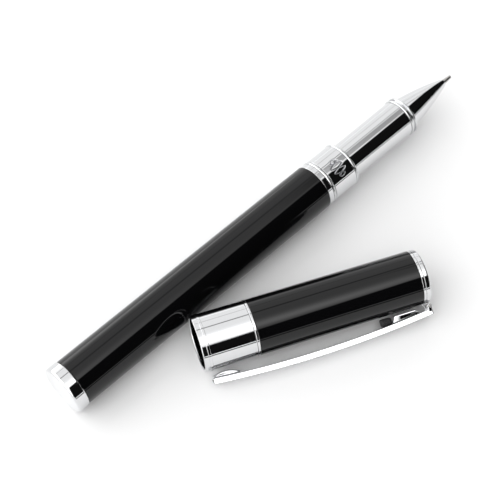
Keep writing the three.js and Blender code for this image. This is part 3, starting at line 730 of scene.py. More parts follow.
class PEN_OT_section(bpy.types.Operator):
    """Builds the plated pieces in front of the barrel: rings, engraved band, grip, lip and cone."""

    bl_idname = "pen.section"
    bl_label = "Grip section"

    def execute(self, context):
        finish, detail = settings()
        chrome = plated("section_chrome", PEN, finish)
        for name in ("section_ring_rear", "section_ring_front"):
            ring = Span(name, PEN)
            half = (ring.end - ring.start) / 2
            crown = [
                (ring.start, ring.bore, detail.edge),
                (ring.start, ring.outer, half * 0.98),
                (ring.end, ring.outer, half * 0.98),
                (ring.end, ring.bore, detail.edge),
            ]
            turned_piece(
                name, rounded(crown, steps=9), PEN, "section", "chrome", chrome, detail.around
            )
        self.band(finish, detail)
        self.grip(chrome, detail)
        self.lip(chrome, detail)
        self.cone(chrome, detail)
        return {"FINISHED"}

    def band(self, finish, detail):
        """The centre band, with a motif of two crossing waves cut into its upper side.

        Wave k lies at the station mid + (-1)^k A sin(w t) at the angle t; the cut's depth falls
        off as a smooth bell, exp(-(distance / half width)^2), and stops at both ends.
        """
        span = Span("centre_band", PEN)
        mid, reach = (span.start + span.end) / 2, (span.end - span.start) * 0.27
        half, depth = detail.engraving_width / 2, detail.engraving_depth
        middle, spread = math.radians(24), math.radians(27)

        def groove(x, t):
            t = (t - middle + math.pi) % (2 * math.pi) - math.pi
            fade = np.clip((spread - np.abs(t)) / math.radians(6), 0, 1)
            swell = reach * np.cos(t / spread * math.pi / 2).clip(0, 1)
            cut = 0
            for sign in (-1, 1):
                line = mid + sign * swell * np.sin(2 * math.pi * t / spread)
                slope = reach * 2 * math.pi / spread / span.outer * np.cos(2 * math.pi * t / spread)
                distance = np.abs(x - line) / np.sqrt(1 + slope**2)
                cut = np.maximum(cut, np.exp(-((distance / half) ** 2)))
            return cut * fade

        edge = detail.edge
        rise = ring_profile(span.start, span.end, span.bore, span.outer, edge)
        flat_from, flat_to = span.start + 3 * edge, span.end - 3 * edge
        top = np.flatnonzero(rise[:, 1] > span.outer - 1e-9)
        body = np.stack([np.linspace(flat_from, flat_to, 90), np.full(90, span.outer)], axis=1)
        before, after = rise[: top[len(top) // 2 - 1] + 1], rise[top[len(top) // 2] :]
        profile = np.concatenate([before, body, after])
        segments = 720

        def ripple(x, r, t):
            on_top = (r > span.outer - 1e-9) & (x > flat_from - 1e-9) & (x < flat_to + 1e-9)
            return -depth * groove(x, t) * on_top

        points, faces = revolved(profile, PEN, segments, ripple=ripple)
        material = engraved_plating("engraved_chrome", PEN, finish)
        name = "centre_band"
        made = object_from(name + "_look", points, faces, "section", "chrome", [name], material)
        xab = PEN.read(points)
        radius = np.hypot(xab[:, 1], xab[:, 2])
        cut = np.clip((span.outer - radius) / depth, 0, 1)
        cut[(xab[:, 0] < flat_from) | (xab[:, 0] > flat_to) | (radius < span.outer - 1.5 * depth)] = 0
        # groove: how deep each point lies in the cut; it sets the engraving's roughness and its painted shade.
        groove_at = made.data.attributes.new("groove", "FLOAT", "POINT")
        groove_at.data.foreach_set("value", cut.astype(np.float32))

    def grip(self, chrome, detail):
        span = Span("grip_shell", PEN)
        stations = np.unique(np.round(span.x, 7))
        collar_end = stations[1]
        collar, bore = span.outer_at(span.start), span.bore
        rear = np.sort(np.unique(np.round(span.near(collar_end), 6)))[0]
        front = span.outer_at(span.end)
        ring_bore = span.bore_at(span.start)
        step = stations[2]
        edge = detail.edge
        profile = rounded(
            [
                (span.start, ring_bore, edge),
                (span.start, collar, edge),
                (collar_end, collar, edge),
                (collar_end, rear, edge / 3),
                *between((collar_end, rear), (span.end, front), 3),
                (span.end, front, edge),
                (span.end, bore, edge),
                (step, bore, edge / 2),
                (step, ring_bore, edge / 2),
            ]
        )
        turned_piece("grip_shell", profile, PEN, "section", "chrome", chrome, detail.around)

    def lip(self, chrome, detail):
        span = Span("lip_ring", PEN)
        bead = 0.55 * MM
        valley = span.outer - 0.4 * MM
        edge = detail.edge / 2
        profile = rounded(
            [
                (span.start, span.bore, edge),
                (span.start, span.outer, bead * 0.49),
                (span.start + bead, span.outer, bead * 0.49),
                (span.start + bead, valley, edge),
                (span.end - bead, valley, edge),
                (span.end - bead, span.outer, bead * 0.49),
                (span.end, span.outer, bead * 0.49),
                (span.end, span.bore, edge),
            ],
            steps=8,
        )
        turned_piece("lip_ring", profile, PEN, "section", "chrome", chrome, detail.around)

    def cone(self, chrome, detail):
        """The cone's side is the line between its end radii plus 4 b t (1 - t), b its bulge."""
        span = Span("nose_cone", PEN)
        base_at = span.x[span.r > span.outer - 0.5 * MM].min()
        base, tip = span.outer_at(base_at), span.outer_at(span.end)
        middle = (base_at + span.end) / 2
        outside = span.r[np.abs(span.x - middle) < 1.6 * MM].max()
        outside_x = span.x[np.argmin(np.abs(span.r - outside) + (np.abs(span.x - middle) > 1.6 * MM))]
        share = (outside_x - base_at) / (span.end - base_at)
        bulge = (outside - (base + (tip - base) * share)) / (4 * share * (1 - share))
        t = np.linspace(0, 1, 33)[1:-1]
        side = base + (tip - base) * t + 4 * bulge * t * (1 - t)
        curve = [(base_at + s * (span.end - base_at), r, 0) for s, r in zip(t, side)]
        spigot = span.outer_at(span.start)
        inner = span.bore_at(span.start)
        neck = span.bore
        neck_from = span.x[span.r < neck + 0.02 * MM].min()
        stem_r = np.unique(np.round(span.near(neck_from), 6))
        wider = stem_r[stem_r > neck + 0.05 * MM]
        stem = wider.min() if len(wider) else neck * 1.6
        stem_from = span.x[np.abs(span.r - stem) < 0.03 * MM].min()
        inner_to = span.x[np.abs(span.r - inner) < 0.02 * MM].max()
        edge = detail.edge
        profile = rounded(
            [
                (span.start, inner, edge),
                (span.start, spigot, edge),
                (base_at, spigot, edge / 2),
                (base_at, base, edge),
                *curve,
                (span.end, tip, edge),
                (span.end, neck, edge / 2),
                (neck_from, neck, 0),
                (neck_from, stem, 0),
                (stem_from, stem, 0),
                (inner_to, inner, 0),
            ]
        )
        turned_piece("nose_cone", profile, PEN, "section", "chrome", chrome, detail.around)


# ---------------------------------------------------------------- screw joint


def thread_ripple(start, pitch, depth, radius, reach, fade_from, fade_to):
    """A right-hand ridge or groove, as an increase of every radius within `reach` of the given one.

    The phase is (x - start) / pitch - t / 2 pi, so it advances one pitch along per positive turn;
    the ridge is a trapezium wave of it, faded out over half a pitch at both ends.
    """

    def ripple(x, r, t):
        phase = (x - start) / pitch - t / (2 * math.pi)
        wave = np.clip(1.6 - 5.2 * np.abs(phase - np.round(phase)), 0, 1)
        half = 0.5 * pitch
        fade = np.clip((x - fade_from) / half, 0, 1) * np.clip((fade_to - x) / half, 0, 1)
        return depth * wave * fade * (np.abs(r - radius) < reach)

    return ripple


class PEN_OT_thread(bpy.types.Operator):
    """Builds the threaded core of the section and the threaded sleeve inside the barrel."""

    bl_idname = "pen.thread"
    bl_label = "Screw joint"

    def execute(self, context):
        finish, detail = settings()
        brass = turned_metal("pen_brass", PEN, tuple(finish.brass_colour), 0.2, 900.0)
        pitch = 2 * math.pi / self.ratio()
        core = Span("section_core", PEN)
        root = np.sort(np.unique(np.round(core.near(core.start), 6)))[-1]
        ring_at = core.x[core.r > core.outer - 1e-5].min()
        seat_end = core.x[core.r > core.outer - 1e-5].max()
        front = core.outer_at(core.end)
        crest = core.r[(core.x < ring_at - 0.2 * MM)].max()
        grooves = core.x[(core.r > crest - 0.02 * MM) & (core.x < ring_at - 0.2 * MM)]
        depth = crest - root
        edge = detail.edge
        run_to = ring_at - 3 * edge
        steps = [(x, root, 0) for x in np.linspace(core.start + 3 * edge, run_to, 150)]
        profile = rounded(
            [
                (core.start, core.bore, edge),
                (core.start, root, edge),
                *steps,
                (ring_at, root, edge / 2),
                (ring_at, core.outer, edge),
                (seat_end, core.outer, edge),
                (seat_end, front, edge / 2),
                (core.end, front, edge),
                (core.end, core.bore, edge),
            ]
        )
        lead = 0.2 * pitch
        ripple = thread_ripple(
            grooves.min(), pitch, depth, root, EXACT, grooves.min() - lead, grooves.max() + lead
        )
        around = detail.around_inside
        turned_piece(
            "section_core", profile, PEN, "section", "brass", brass, around, ripple=ripple
        )
        sleeve = Span("barrel_thread_sleeve", PEN)
        land = sleeve.bore
        edge = detail.edge
        steps = [(x, land, 0) for x in np.linspace(sleeve.end - 3 * edge, sleeve.start + 3 * edge, 190)]
        profile = rounded(
            [
                (sleeve.start, land, edge),
                (sleeve.start, sleeve.outer, edge),
                (sleeve.end, sleeve.outer, edge),
                (sleeve.end, land, edge),
                *steps,
            ]
        )
        ripple = thread_ripple(
            grooves.min(), pitch, depth, land, 3 * edge, sleeve.start, sleeve.end + pitch
        )
        turned_piece(
            "barrel_thread_sleeve", profile, PEN, "barrel", "brass", brass, around, ripple=ripple
        )
        return {"FINISHED"}

    def ratio(self):
        """Radians of turn per metre of travel, as the record couples them."""
        return abs(frame["record"]["behaviour"]["couplings"][0]["ratio"])


# ---------------------------------------------------------------- refill


class PEN_OT_refill(bpy.types.Operator):
    """Builds the refill with its ink, tip and ball, and the spring and plug behind it."""

    bl_idname = "pen.refill"
    bl_label = "Refill"

    def execute(self, context):
        finish, detail = settings()
        around, edge = detail.around_inside, detail.edge
        plastic = moulded("refill_plastic", PEN, tuple(finish.refill_colour), 0.28, 2500.0, 0.4)
        black = moulded("refill_plug_plastic", PEN, tuple(finish.plastic_colour), 0.35, 2500.0)
        steel = turned_metal("pen_steel", PEN, tuple(finish.steel_colour), 0.22, 1500.0)
        brass = turned_metal("tail_brass", PEN, tuple(finish.brass_colour), 0.22, 800.0)
        carbide = turned_metal("ball_carbide", PEN, (0.35, 0.35, 0.37), 0.12, 2500.0)
        for name, body, slot, material in (
            ("refill_tube", "refill", "refill_plastic", plastic),
            ("refill_rear_plug", "refill", "black_plastic", black),
            ("tail_plug", "barrel", "brass", brass),
        ):
            span = Span(name, PEN)
            turned_piece(name, tube_profile(span, edge, 2), PEN, body, slot, material, around)
        ink = Span("ink_reservoir", PEN)
        rod = [
            (ink.start, 0, 0),
            (ink.start, ink.outer, edge * 2),
            (ink.end, ink.outer, edge * 2),
            (ink.end, 0, 0),
        ]
        strands = fibre("ink_fibre", PEN, finish)
        turned_piece(
            "ink_reservoir", rounded(rod), PEN, "refill", "ink_fibre", strands, around
        )
        nose = Span("refill_nose", PEN)
        shoulder = nose.x[nose.r > nose.outer - 1e-6].max()
        slim = np.unique(np.round(nose.near(shoulder), 6)).min()
        taper_from = nose.x[np.abs(nose.r - slim) < 1e-5].max()
        stem = nose.outer_at(nose.end)
        shape = [
            (nose.start, 0, 0),
            (nose.start, nose.outer, edge),
            (shoulder, nose.outer, edge),
            (shoulder, slim, edge / 2),
            (taper_from, slim, edge * 6),
            (nose.end, stem, edge),
            (nose.end, 0, 0),
        ]
        turned_piece("refill_nose", rounded(shape), PEN, "refill", "refill_plastic", plastic, around)
        self.tip(steel, detail)
        self.ball(carbide)
        self.spring(steel)
        return {"FINISHED"}

    def tip(self, steel, detail):
        span = Span("tip_holder", PEN)
        ball = Span("writing_ball", PEN)
        stem_end = span.x[span.r > span.outer - 1e-6].max()
        neck = np.unique(np.round(span.near(stem_end), 6)).min()
        taper_from = span.x[np.abs(span.r - neck) < 1e-5].max()
        lip = span.outer_at(span.end)
        centre = (ball.start + ball.end) / 2
        ball_r = (ball.end - ball.start) / 2
        socket = ball_r + 0.035 * MM
        mouth = math.sqrt(max(socket**2 - (span.end - centre) ** 2, 1e-12))
        angle = np.linspace(math.atan2(mouth, span.end - centre), math.pi, 9)
        edge = detail.edge / 2
        shape = rounded(
            [
                (span.start, 0, 0),
                (span.start, span.outer, edge),
                (stem_end, span.outer, edge),
                (stem_end, neck, edge / 2),
                (taper_from, neck, edge * 4),
                (span.end - 0.12 * MM, lip + (neck - lip) * 0.07, edge),
                (span.end, max(lip, mouth + 0.004 * MM), 0),
                *[
                    (centre + socket * math.cos(a), socket * math.sin(a) if a < 3.1 else 0, 0)
                    for a in angle
                ],
            ]
        )
        turned_piece("tip_holder", shape, PEN, "refill", "steel", steel, detail.around_inside)

    def ball(self, carbide):
        """A sphere as a half circle turned about the pen's axis."""
        span = Span("writing_ball", PEN)
        radius, centre = (span.end - span.start) / 2, (span.start + span.end) / 2
        angle = np.linspace(math.pi, 0, 33)
        shape = np.stack([centre + radius * np.cos(angle), radius * np.sin(angle)], axis=1)
        shape[[0, -1], 1] = 0
        points, faces = revolved(shape, PEN, 48)
        object_from("writing_ball_look", points, faces, "ball", "carbide", ["writing_ball"], carbide)

    def spring(self, steel):
        span = Span("refill_spring", PEN)
        wire = (span.outer - span.bore) / 2
        radius = (span.outer + span.bore) / 2
        live = coil(PEN, span.start + wire, span.end - wire, radius, wire, 5, 14)
        object_from("refill_spring_look", *live, "barrel", "steel", ["refill_spring"], steel)


# ---------------------------------------------------------------- cap


class PEN_OT_cap(bpy.types.Operator):
    """Builds the cap's shell, its plated mouth and top, and the liner and cup inside it."""

    bl_idname = "pen.cap"
    bl_label = "Cap"

    def execute(self, context):
        finish, detail = settings()
        around, edge = detail.around, detail.edge
        chrome = plated("cap_chrome", CAP, finish)
        lacquer = lacquered("cap_lacquer", CAP, finish)
        plastic = moulded("cap_plastic", CAP, tuple(finish.plastic_colour), 0.32, 2200.0)
        brass = turned_metal("cap_brass", CAP, tuple(finish.brass_colour), 0.22, 800.0)
        self.mouth(chrome, detail)
        trim = Span("cap_trim_ring", CAP)
        trim_shape = tube_profile(trim, edge * 1.6)
        turned_piece("cap_trim_ring", trim_shape, CAP, "cap", "chrome", chrome, around)
        tube = Span("cap_tube", CAP)
        shell = tube_profile(tube, edge, 3)
        turned_piece("cap_tube", shell, CAP, "cap", "black_lacquer", lacquer, around)
        for name in ("cap_liner", "cap_end_plug"):
            span = Span(name, CAP)
            material, slot = (plastic, "black_plastic") if name == "cap_liner" else (brass, "brass")
            turned_piece(name, tube_profile(span, edge, 2), CAP, "cap", slot, material, around)
        cup = Span("cap_inner_cup", CAP)
        floor = cup.x[cup.r < 1e-5].min()
        bore = cup.bore_at(cup.start)
        shape = [
            (floor, 0, 0),
            (floor, bore, edge * 3),
            (cup.start, bore, edge),
            (cup.start, cup.outer, edge),
            (cup.end, cup.outer, edge),
            (cup.end, 0, 0),
        ]
        turned_piece("cap_inner_cup", rounded(shape), CAP, "cap", "black_plastic", plastic, around)
        disc = Span("cap_end_disc", CAP)
        foot = disc.x[disc.r > disc.outer - 1e-5].min()
        stud = disc.outer_at(disc.start)
        shape = [
            (disc.start, 0, 0),
            (disc.start, stud, edge),
            (foot, stud, edge / 2),
            (foot, disc.outer, edge),
            (disc.end, disc.outer, detail.disc_round),
            (disc.end, 0, 0),
        ]
        turned_piece("cap_end_disc", rounded(shape, steps=10), CAP, "cap", "chrome", chrome, around)
        return {"FINISHED"}

    def mouth(self, chrome, detail):
        span = Span("cap_mouth_band", CAP)
        rim = span.x[span.r > span.outer - 2e-5]
        rim_from, rim_to = rim.min(), rim.max()
        rim_r = span.outer
        foot_a = np.unique(np.round(span.near(rim_from), 6))
        foot_a = foot_a[foot_a < rim_r - 0.05 * MM].max()
        top = span.outer_at(span.end)
        mouth_r = foot_a + (foot_a - top) * (rim_from - span.start) / (span.end - rim_from)
        foot_b = foot_a + (top - foot_a) * (rim_to - rim_from) / (span.end - rim_from)
        edge = detail.edge
        profile = rounded(
            [
                (span.start, span.bore, edge * 3.5),
                (span.start, mouth_r, edge * 2),
                (rim_from, foot_a, edge / 2),
                (rim_from, rim_r, edge),
                (rim_to, rim_r, edge),
                (rim_to, foot_b, edge / 2),
                *between((rim_to, foot_b), (span.end, top), 2),
                (span.end, top, edge),
                (span.end, span.bore, edge),
            ]
        )
        turned_piece("cap_mouth_band", profile, CAP, "cap", "chrome", chrome, detail.around)


# ---------------------------------------------------------------- clip


class PEN_OT_clip(bpy.types.Operator):
    """Builds the sprung clip, what it rests on, and the hinge at the top of the cap."""

    bl_idname = "pen.clip"
    bl_label = "Clip and hinge"

    def execute(self, context):
        finish, detail = settings()
        chrome = plated("clip_chrome", CAP, finish)
        steel = turned_metal("clip_steel", CAP, tuple(finish.steel_colour), 0.2, 1500.0)
        # The bumper's dark rubber is partly painted shade: it fills the dark patch between clip and cap.
        rubber = moulded("clip_rubber_shade", CAP, tuple(finish.rubber_shade_colour), 0.6, 2600.0)
        hinge = CAP.read(np.array(joint("clip_hinge")["pos_m"])[None])[0]
        pin = self.flank("clip_hinge_pin")
        pin_r = (pin[:, 0].max() - pin[:, 0].min()) / 2
        self.bar(chrome, detail, hinge, pin_r)
        self.pad(chrome, detail)
        self.cheek(chrome, detail)
        self.bumper(rubber, detail)
        self.bracket(chrome, detail, hinge, pin_r)
        self.hardware(steel, detail, hinge, pin_r)
        return {"FINISHED"}

    def flank(self, node):
        return CAP.read(vertices_of(node))

    def bar(self, chrome, detail, hinge, pin_r):
        """The bar's outer line is its chord plus 4 rise t (1 - t), and its inner line one
        thickness inside; both lines and their ends are read from the frame at each station."""
        v = self.flank("clip_bar")
        half = np.abs(v[:, 2]).max()
        start, end = v[:, 0].min(), v[:, 0].max()
        at_start = v[np.abs(v[:, 0] - start) < 0.02 * MM, 1]
        at_end = v[np.abs(v[:, 0] - end) < 0.02 * MM, 1]
        thick = at_start.max() - at_start.min()
        middle = v[np.abs(v[:, 0] - (start + end) / 2) < 0.4 * MM, 1].max()
        foot, top = at_start.max(), at_end.max()
        rise = middle - (foot + top) / 2
        soft = detail.soft_edge
        p = np.linspace(0, math.pi / 2, 8)
        lead = np.append(soft * (1 - np.cos(p)), soft * 1.3)
        x = np.concatenate(
            [start + lead, np.linspace(start + 2 * soft, end - 2 * soft, 90), end - lead[::-1]]
        )
        t = (x - start) / (end - start)
        outer = foot + (top - foot) * t + 4 * rise * t * (1 - t)
        inner = outer - thick
        gap = np.minimum(x - start, end - x).clip(0, soft)
        inset = soft - np.sqrt(soft**2 - (soft - gap) ** 2)
        section = self.section(half, thick, detail, soft)
        scale_a = 1 - 2 * inset / thick
        scale_b = 1 - inset / half
        middle_a = -thick / 2
        sections = np.stack(
            [
                outer[:, None] + middle_a + (section[:, 0] - middle_a) * scale_a[:, None],
                section[:, 1] * scale_b[:, None],
            ],
            axis=2,
        )
        body = lofted(x, sections, CAP)
        arm = 0.5 * MM
        eye_r = self.eye_radius(hinge)
        hole = pin_r + 0.07 * MM
        reach = np.interp(hinge[0], x, inner) + thick * 0.4
        to_x = min(hinge[0] + 1.25 * MM, end - soft)
        beside = half - arm / 2
        arms = [
            self.eyed(hinge, eye_r, hole, reach, to_x, arm / 2, sign * beside, detail.edge)
            for sign in (-1, 1)
        ]
        points, faces = merged(body, *arms)
        object_from("clip_bar_look", points, faces, "clip", "chrome", ["clip_bar"], chrome)

    def section(self, half, thick, detail, soft):
        """The bar's cross-section as (a, b) points below its top line: a crowned outer face, at
        -crown (b / half)^2, and flanks that lean in towards the cap."""
        crown, lean = detail.clip_crown, math.tan(detail.clip_lean) * thick
        face = [(-crown * u * u, half * u, 0) for u in np.linspace(-0.75, 0.75, 9)]
        return rounded(
            [
                (-crown, -half, soft),
                *face,
                (-crown, half, soft),
                (-thick, half - lean, soft * 0.5),
                (-thick, lean - half, soft * 0.5),
            ],
            steps=8,
        )

    def eye_radius(self, hinge):
        v = self.flank("clip_bracket")
        return v[:, 0].max() - hinge[0]

    def eyed(self, hinge, eye, hole, reach, to_x, half, centre, edge):
        """An arm with a round eye: the eye's circle with its far half pulled out to a stem.

        Outer loop point k is at angle s_k, the hole's point k at the same angle, so the two
        loops are joined by one band of faces on each flank.
        """
        s = np.linspace(0, 2 * math.pi, 96, endpoint=False)
        ring = np.exp(1j * s)
        outer = eye * ring
        rise = np.sin(s) > 0
        stem = outer.copy()
        height = reach - hinge[1]
        lift = np.clip(np.sin(s[rise]) * 1.9, 0, 1) ** 0.8
        stem[rise] = outer[rise].real + 1j * height * lift
        share = np.clip(stem.imag / height, 0, 1)
        lean = (to_x - hinge[0] - eye) * share * (stem.real > 0) * (stem.real / eye)
        outer = stem + lean
        centre_at = complex(hinge[0], hinge[1])
        loops = []
        for loop, level in (
            (hole * ring, -half),
            ((hole + edge / 2) * ring, -half),
            (outer * 0.97, -half),
            (outer, -half + edge / 2),
            (outer, half - edge / 2),
            (outer * 0.97, half),
            ((hole + edge / 2) * ring, half),
            (hole * ring, half),
        ):
            z = loop + centre_at
            loops.append(CAP.place(z.real, z.imag, np.full(len(z), level + centre)))
        n = len(s)
        index = np.arange(len(loops) * n).reshape(len(loops), n)
        a, b = index, np.roll(index, -1, 0)
        quads = np.stack([a, np.roll(a, -1, 1), np.roll(b, -1, 1), b], axis=2).reshape(-1, 4)
        points = np.concatenate(loops)
        return points, outward(points, quads.tolist())

    def pad(self, chrome, detail):
        """A lens: its under side drops by depth (e + (1 - e) 4 t (1 - t)) below its top."""
        v = self.flank("clip_foot_pad")
        start, end = v[:, 0].min(), v[:, 0].max()
        half = np.abs(v[:, 2]).max()
        stations = np.unique(np.round(v[:, 0], 6))
        top = np.array([v[np.abs(v[:, 0] - s) < 2e-6, 1].max() for s in stations])
        low = np.array([v[np.abs(v[:, 0] - s) < 2e-6, 1].min() for s in stations])
        fine = np.linspace(start, end, 41)
        top_line = np.polyval(np.polyfit(stations, top, 2), fine)
        low_line = np.polyval(np.polyfit(stations, low, 2), fine)
        outline = rounded(
            [(a, b, 0) for a, b in zip(fine[1:-1], low_line[1:-1])]
            + [(end, low_line[-1], detail.edge), (end, top_line[-1], detail.edge)]
            + [(a, b, 0) for a, b in zip(fine[1:-1][::-1], top_line[1:-1][::-1])]
            + [(start, top_line[0], detail.edge), (start, low_line[0], detail.edge)]
        )
        made = closed_plate(outline, CAP, half, detail.edge * 3, detail.clip_lean)
        object_from("clip_foot_pad_look", *made, "clip", "chrome", ["clip_foot_pad"], chrome)

    def cheek(self, chrome, detail):
        v = self.flank("clip_cheek")
        corners = self.quad(v)
        outline = rounded([(x, a, detail.soft_edge * 0.8) for x, a in corners])
        half = np.abs(v[:, 2]).max()
        made = closed_plate(outline, CAP, half, detail.edge * 2, detail.clip_lean)
        object_from("clip_cheek_look", *made, "clip", "chrome", ["clip_cheek"], chrome)

    def bumper(self, rubber, detail):
        # A real pad under the clip, made near-black as painted shade for the dark patch between clip and cap.
        v = self.flank("clip_bumper")
        corners = self.quad(v)
        outline = rounded([(x, a, detail.soft_edge * 0.9) for x, a in corners])
        made = closed_plate(outline, CAP, np.abs(v[:, 2]).max(), detail.soft_edge)
        object_from("clip_bumper_look", *made, "clip", "bumper_rubber", ["clip_bumper"], rubber)

    def quad(self, v):
        """The four corners of an extruded block's flank, in order of angle about its middle."""
        flat = np.unique(np.round(v[:, :2], 7), axis=0)
        z = (flat - flat.mean(axis=0)) @ np.array([1, 1j])
        return flat[np.argsort(np.angle(z))]

    def bracket(self, chrome, detail, hinge, pin_r):
        v = self.flank("clip_bracket")
        r = np.hypot(v[:, 1], v[:, 2])
        lug = np.abs(v[v[:, 1] > hinge[1] - 0.1 * MM, 2]).max()
        start = v[:, 0].min()
        washer = v[v[:, 1] < 0]
        end = washer[:, 0].max()
        outer, bore = np.hypot(washer[:, 1], washer[:, 2]).max(), r.min()
        edge = detail.edge
        shape = ring_profile(start, end, bore, outer, edge)
        body = revolved(shape, CAP, detail.around)
        eye = v[:, 0].max() - hinge[0]
        hole = pin_r + 0.03 * MM
        foot = v[(v[:, 1] > outer - 2 * MM) & (v[:, 0] > end + 0.05 * MM), 1].min()
        neck = rounded(
            [
                (start, outer - (end - start), edge / 2),
                (end, outer - (end - start), 0),
                (end, foot, 0),
                (hinge[0] + eye * 0.96, foot, edge),
                (hinge[0] + eye * 0.96, hinge[1] - hole * 1.02, 0),
                (start, hinge[1] - hole * 1.02, edge),
            ]
        )
        stem = closed_plate(neck, CAP, lug, edge / 2)
        eyelet = self.ringlet(hinge, eye, hole, lug, edge)
        points, faces = merged(body, stem, eyelet)
        object_from("clip_bracket_look", points, faces, "cap", "chrome", ["clip_bracket"], chrome)

    def ringlet(self, hinge, outer, hole, half, edge):
        across = Axis(CAP.place(hinge[0], hinge[1], 0.0), CAP.side, CAP.up)
        shape = ring_profile(-half, half, hole, outer, edge, edge / 2)
        return revolved(shape, across, 96)

    def hardware(self, steel, detail, hinge, pin_r):
        across = Axis(CAP.place(hinge[0], hinge[1], 0.0), CAP.side, CAP.up)
        half = np.abs(self.flank("clip_hinge_pin")[:, 2]).max()
        edge = detail.edge
        pin = rounded([(-half, 0, 0), (-half, pin_r, edge), (half, pin_r, edge), (half, 0, 0)])
        made = revolved(pin, across, 64)
        object_from("clip_hinge_pin_look", *made, "cap", "steel", ["clip_hinge_pin"], steel)
        span = Span("clip_hinge_spring", across)
        wire = (span.outer - span.bore) / 2
        middle = (span.outer + span.bore) / 2
        made = coil(across, span.start + wire, span.end - wire, middle, wire, 2, 10, 32)
        object_from("clip_hinge_spring_look", *made, "cap", "steel", ["clip_hinge_spring"], steel)


# ---------------------------------------------------------------- stage

# Places on a ceiling one unit up. A pair is a half width, or a start, and its softness.
LEFT_FROM = (0.7, 0.5)
LAMP_SPREAD = (0.2, 0.26)
SCREEN_ALONG = (0.25, 0.03)
SCREEN_ACROSS = (0.1, 0.05)
SLAT_PITCH = 0.075
SLAT_DEPTH = 0.06
SEAMS = ((0.395, 0.035, 0.035, 0.85), (1.42, 0.05, 0.03, 0.6))  # middle, half, softness, depth
LOW_LINE = (0.1, 0.02, 0.006)  # height of the bright line over level, half width, softness
LOW_LINE_LEVEL = 1.5


